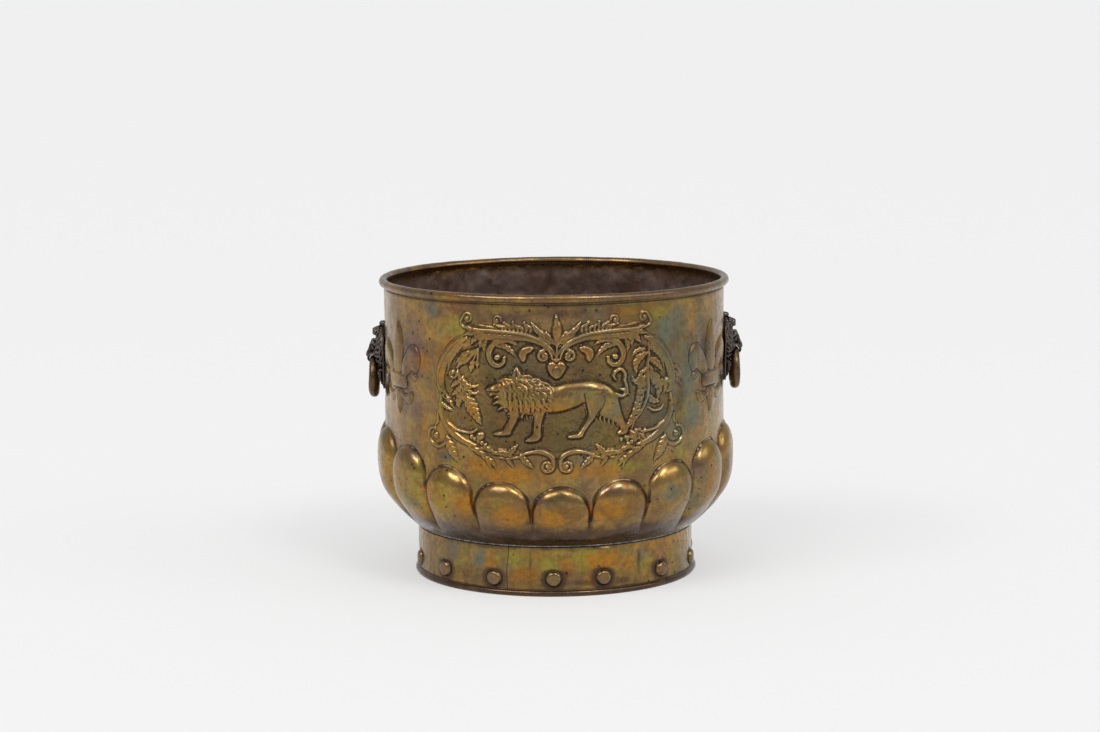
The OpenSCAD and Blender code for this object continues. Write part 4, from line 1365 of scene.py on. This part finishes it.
def old_brass(name, gold_share, inside=True):
    """Handled brass that has darkened unevenly: gold, brown and olive clouds, soot and painted shade in the
    creases, and a painted highlight with some wear on the raised tops.
    """
    f = Finish(name)
    clouds = f.noise(13, 5, 0.6, 0.8)
    fine = f.noise(230, 4, 0.6)
    ragged = f.noise(46, 6, 0.68, 0.6)
    colour = f.mix(f.between(clouds, 0.36, 0.62, gold_share, 1.0), BROWN, GOLD)
    colour = f.mix(f.between(f.noise(19, 5, 0.65, 0.6), 0.46, 0.64, 0.0, 0.75), colour, OLIVE)
    # the chased work has been rubbed
    colour = f.mix(f.between(f.carried("relief"), 0.3, 1.0, 0.0, 0.24), colour, CHASED)
    for tone, tint, scale, own, most in TONES:
        cloud = f.between(f.noise(scale, 5, 0.66, 0.9, (1.0, 1.0, 0.6)), 0.55, 0.70, 0.0, own)
        patch = f.sum("ADD", f.carried(tone), f.between(ragged, 0.3, 0.7, -0.20, 0.20))
        share = f.sum("MAXIMUM", cloud, f.between(patch, 0.14, 0.86, 0.0, most))
        colour = f.mix(share, colour, tint)
    colour = f.mix(f.between(f.noise(62, 5, 0.6, 0.5), 0.60, 0.74, 0.0, 0.45), colour, RUST)
    colour = f.mix(f.between(f.noise(40, 5, 0.6, 0.4), 0.50, 0.72, 0.0, 0.50), colour, BROWN)
    # the sunk field is dull and dark
    colour = f.mix(f.between(f.carried("field"), 0.0, 1.0, 0.0, 0.44), colour, FIELD)
    colour = f.mix(f.between(fine, 0.35, 0.70, 0.0, 0.34), colour, DARK)
    streaks = f.noise(60, 4, 0.6, 0.1, (1.0, 1.0, 0.13))
    colour = f.mix(f.between(streaks, 0.50, 0.72, 0.0, 0.38), colour, PLUM)
    spots = f.between(f.cells(120), 0.22, 0.10, 0.0, 1.0)
    spots = f.sum("MULTIPLY", spots, f.between(f.noise(24, 3), 0.48, 0.60, 0.0, 0.9))
    colour = f.mix(spots, colour, SOOT_AND_SHADE)
    # painted highlight, with some real wear, on the raised tops
    polish = f.carried("polish")
    colour = f.mix(f.between(polish, 0.35, 1.2, 0.0, 0.28), colour, WORN_HIGHLIGHT)
    # painted shade: hollows, creases and chased lines are darkened with the soot colour, with some real soot
    # there
    cavity = f.carried("cavity")
    grime_and_shade = f.between(cavity, 0.12, 1.0, 0.0, 0.88)
    colour = f.mix(grime_and_shade, colour, SOOT_AND_SHADE)
    rough = f.between(clouds, 0.3, 0.7, 0.27, 0.18)
    rough = f.sum("ADD", rough, f.between(fine, 0.3, 0.75, -0.03, 0.12))
    rough = f.sum("ADD", rough, f.between(polish, 0.2, 1.0, 0.0, -0.08))
    if inside:
        inner = f.carried("inside")
        lining = f.mix(f.between(f.noise(30, 4, 0.6), 0.4, 0.65), LINING, PLUM)
        lining = f.mix(f.between(f.noise(80, 3), 0.5, 0.75, 0.0, 0.5), lining, DARK)
        # pale painted sheen in patches on the lining
        lining = f.mix(f.between(f.noise(26, 5, 0.7, 0.6), 0.60, 0.72, 0.0, 0.6), lining, LINING_SHEEN)
        colour = f.mix(inner, colour, lining)
        rough = f.sum("ADD", rough, f.between(inner, 0.0, 1.0, 0.0, 0.06))
    rough = f.sum("ADD", rough, f.between(cavity, 0.1, 1.0, 0.0, 0.35))
    metal = f.between(grime_and_shade, 0.0, 1.0, 1.0, 0.80)
    if inside:
        metal = f.sum("MULTIPLY", metal, f.between(inner, 0.0, 1.0, 1.0, 0.75))
    # old lacquer
    f.shader.inputs["Coat Weight"].default_value = 0.10
    f.shader.inputs["Coat Roughness"].default_value = 0.11
    normal = f.bump(f.noise(70, 3, 0.5), 0.28)
    normal = f.bump(f.noise(420, 3, 0.6), 0.035, normal)
    return f.done(colour, rough, metal, normal)


def mask_metal():
    """Cast brass, almost black with age, with a painted highlight on the highest places, where brass also
    shows worn through, and painted shade in the crevices.
    """
    f = Finish("dark_cast_brass")
    grain = f.noise(260, 4, 0.6)
    colour = f.mix(f.between(grain, 0.35, 0.7), (0.014, 0.010, 0.008), (0.040, 0.030, 0.024))
    cavity = f.carried("cavity")
    # painted highlight on the high places, where the brass also shows worn through
    colour = f.mix(f.between(cavity, 0.34, 0.02, 0.0, 0.50), colour, (0.17, 0.14, 0.12))
    # painted shade in the crevices
    colour = f.mix(f.between(cavity, 0.45, 0.95), colour, (0.010, 0.007, 0.006))
    rough = f.between(grain, 0.3, 0.7, 0.20, 0.36)
    return f.done(colour, rough, 0.9, f.bump(grain, 0.12))


def ring_metal():
    """Brown brass ring, mottled lighter and darker."""
    f = Finish("rubbed_ring_brass")
    clouds = f.noise(70, 4, 0.6, 0.5)
    colour = f.mix(f.between(clouds, 0.35, 0.65), (0.070, 0.045, 0.028), (0.165, 0.108, 0.060))
    # painted shade in the rod's dents
    colour = f.mix(f.carried("cavity"), colour, (0.07, 0.045, 0.03))
    rough = f.between(clouds, 0.3, 0.7, 0.20, 0.36)
    return f.done(colour, rough, 1.0, f.bump(f.noise(500, 3), 0.03))


def plain_metal(name, dark, light, rough, scale):
    """Wires, solder and fixings: dull metal, mottled and pitted."""
    f = Finish(name)
    clouds = f.noise(scale, 5, 0.65)
    colour = f.mix(f.between(clouds, 0.35, 0.68), dark, light)
    return f.done(colour, f.between(clouds, 0.3, 0.7, rough + 0.12, rough), 1.0,
                  f.bump(f.noise(scale * 5, 3), 0.06))


def paint_nodes():
    """Gives the CAD nodes that stay in view their finish."""
    iron = plain_metal("blackened_iron", (0.05, 0.045, 0.04), (0.16, 0.14, 0.12), 0.40, 300)
    solder = plain_metal("aged_solder", (0.12, 0.11, 0.10), (0.32, 0.31, 0.30), 0.38, 220)
    steel = plain_metal("fixing_steel", (0.16, 0.13, 0.11), (0.38, 0.35, 0.32), 0.32, 400)
    fixings = [side + "_mask_" + kind for side in SIDES for kind in ("studs", "washers", "nuts")]
    wires, joins = ("rim_wire", "foot_wire"), ("base_solder", "foot_solder")
    for nodes, material in ((wires, iron), (joins, solder), (fixings, steel)):
        for node in nodes:
            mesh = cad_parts[node].data
            mesh.materials.clear()
            mesh.materials.append(material)


# ---------------------------------------------------------------- floor, light, camera

BACKDROP = 0.885
POT_MIDDLE = (0, 0, 0.15)


def studio_floor():
    """Pale paper that takes a faint shadow."""
    mesh = bpy.data.meshes.new("studio_floor")
    half = 45.0
    corners = [(-half, -half, 0), (half, -half, 0), (half, half, 0), (-half, half, 0)]
    mesh.from_pydata(corners, [], [(0, 1, 2, 3)])
    f = Finish("pale_paper")
    f.nodes.remove(f.shader)
    paper = f.add("BsdfDiffuse", {"Color": (0.63, 0.63, 0.63, 1)}).outputs[0]
    glow = f.add("Emission", {"Color": (1, 1, 1, 1), "Strength": 1.15}).outputs[0]
    share = f.add("MixShader", {0: 0.40, 1: paper, 2: glow})
    output = [n for n in f.nodes if n.type == "OUTPUT_MATERIAL"][0]
    f.wire(share.outputs[0], output.inputs["Surface"])
    mesh.materials.append(f.material)
    floor = bpy.data.objects.new("studio_floor", mesh)
    bpy.context.scene.collection.objects.link(floor)


def studio_world():
    """Flat pale backdrop for the eye. The metal sees a pale wall behind, a dim room in front, soft boxes."""
    world = bpy.data.worlds.new("studio")
    bpy.context.scene.world = world
    w = Tree(world)
    way = w.add("TexCoord").outputs["Generated"]
    total = w.between(w.add("SeparateXYZ", {0: way}).outputs["Y"], -0.25, 0.70, 0.52, 0.60)
    # aim, tightness and strength of each soft box
    for aim, tight, strength in (((-0.62, -0.42, 0.66), 110, 10.0), ((-0.30, -0.60, 0.74), 150, 9.0),
                                 ((0.37, -0.56, 0.74), 130, 14.0), ((0.15, -0.35, 0.92), 22, 1.6),
                                 ((0.85, -0.22, 0.48), 45, 2.6)):
        dot = w.add("VectorMath", {0: way, 1: Vector(aim).normalized()}, operation="DOT_PRODUCT")
        glow = w.sum("POWER", w.sum("MAXIMUM", dot.outputs["Value"], 0.0), tight)
        total = w.sum("ADD", total, w.sum("MULTIPLY", glow, strength))
    seen = w.add("LightPath").outputs["Is Camera Ray"]
    pick = w.add("Mix", {0: seen, 2: total, 3: BACKDROP}, data_type="FLOAT")
    w.wire(pick.outputs[0], w.nodes["Background"].inputs["Strength"])
    w.nodes["Background"].inputs["Color"].default_value = (1, 1, 1, 1)


def soft_lamp(name, place, aim, size, power):
    """Square soft light, aimed at a point. Lengths in metres."""
    data = bpy.data.lights.new(name, "AREA")
    data.size = size
    data.energy = power
    lamp = bpy.data.objects.new(name, data)
    bpy.context.scene.collection.objects.link(lamp)
    lamp.location = place
    lamp.rotation_euler = (Vector(aim) - Vector(place)).to_track_quat("-Z", "Y").to_euler()


def camera():
    """Long lens, well back and a little above the rim, tipped down on the pot."""
    data = bpy.data.cameras.new("camera")
    data.sensor_width = 36.0
    data.lens = 93.3
    eye = bpy.data.objects.new("camera", data)
    bpy.context.scene.collection.objects.link(eye)
    place = Vector((-0.0042, -2.696, 0.588))
    pitch, roll = 0.1447, -0.0074
    turn = Matrix.Rotation(math.pi / 2 - pitch, 4, "X") @ Matrix.Rotation(roll, 4, "Z")
    eye.matrix_world = Matrix.Translation(place) @ turn
    bpy.context.scene.camera = eye


# ---------------------------------------------------------------- the pot

def build():
    """Makes every piece that stands for a CAD node, and paints the rest."""
    pot_wall(old_brass("wall_brass_finish", 0.15))
    foot(old_brass("foot_brass_finish", 0.40))
    floor_disc(old_brass("floor_brass_finish", 0.1))
    parts = mask_parts()
    cast = mask_metal()
    rubbed = ring_metal()
    for side in SIDES:
        lion_mask(side, parts, cast)
        hanging_ring(side, rubbed)
    paint_nodes()


build()
studio_floor()
studio_world()
soft_lamp("key", (-1.6, -2.2, 2.2), POT_MIDDLE, size=0.9, power=10)
soft_lamp("fill", (1.9, -1.6, 1.5), POT_MIDDLE, size=0.9, power=4)
camera()
bpy.context.scene.view_settings.view_transform = "Standard"
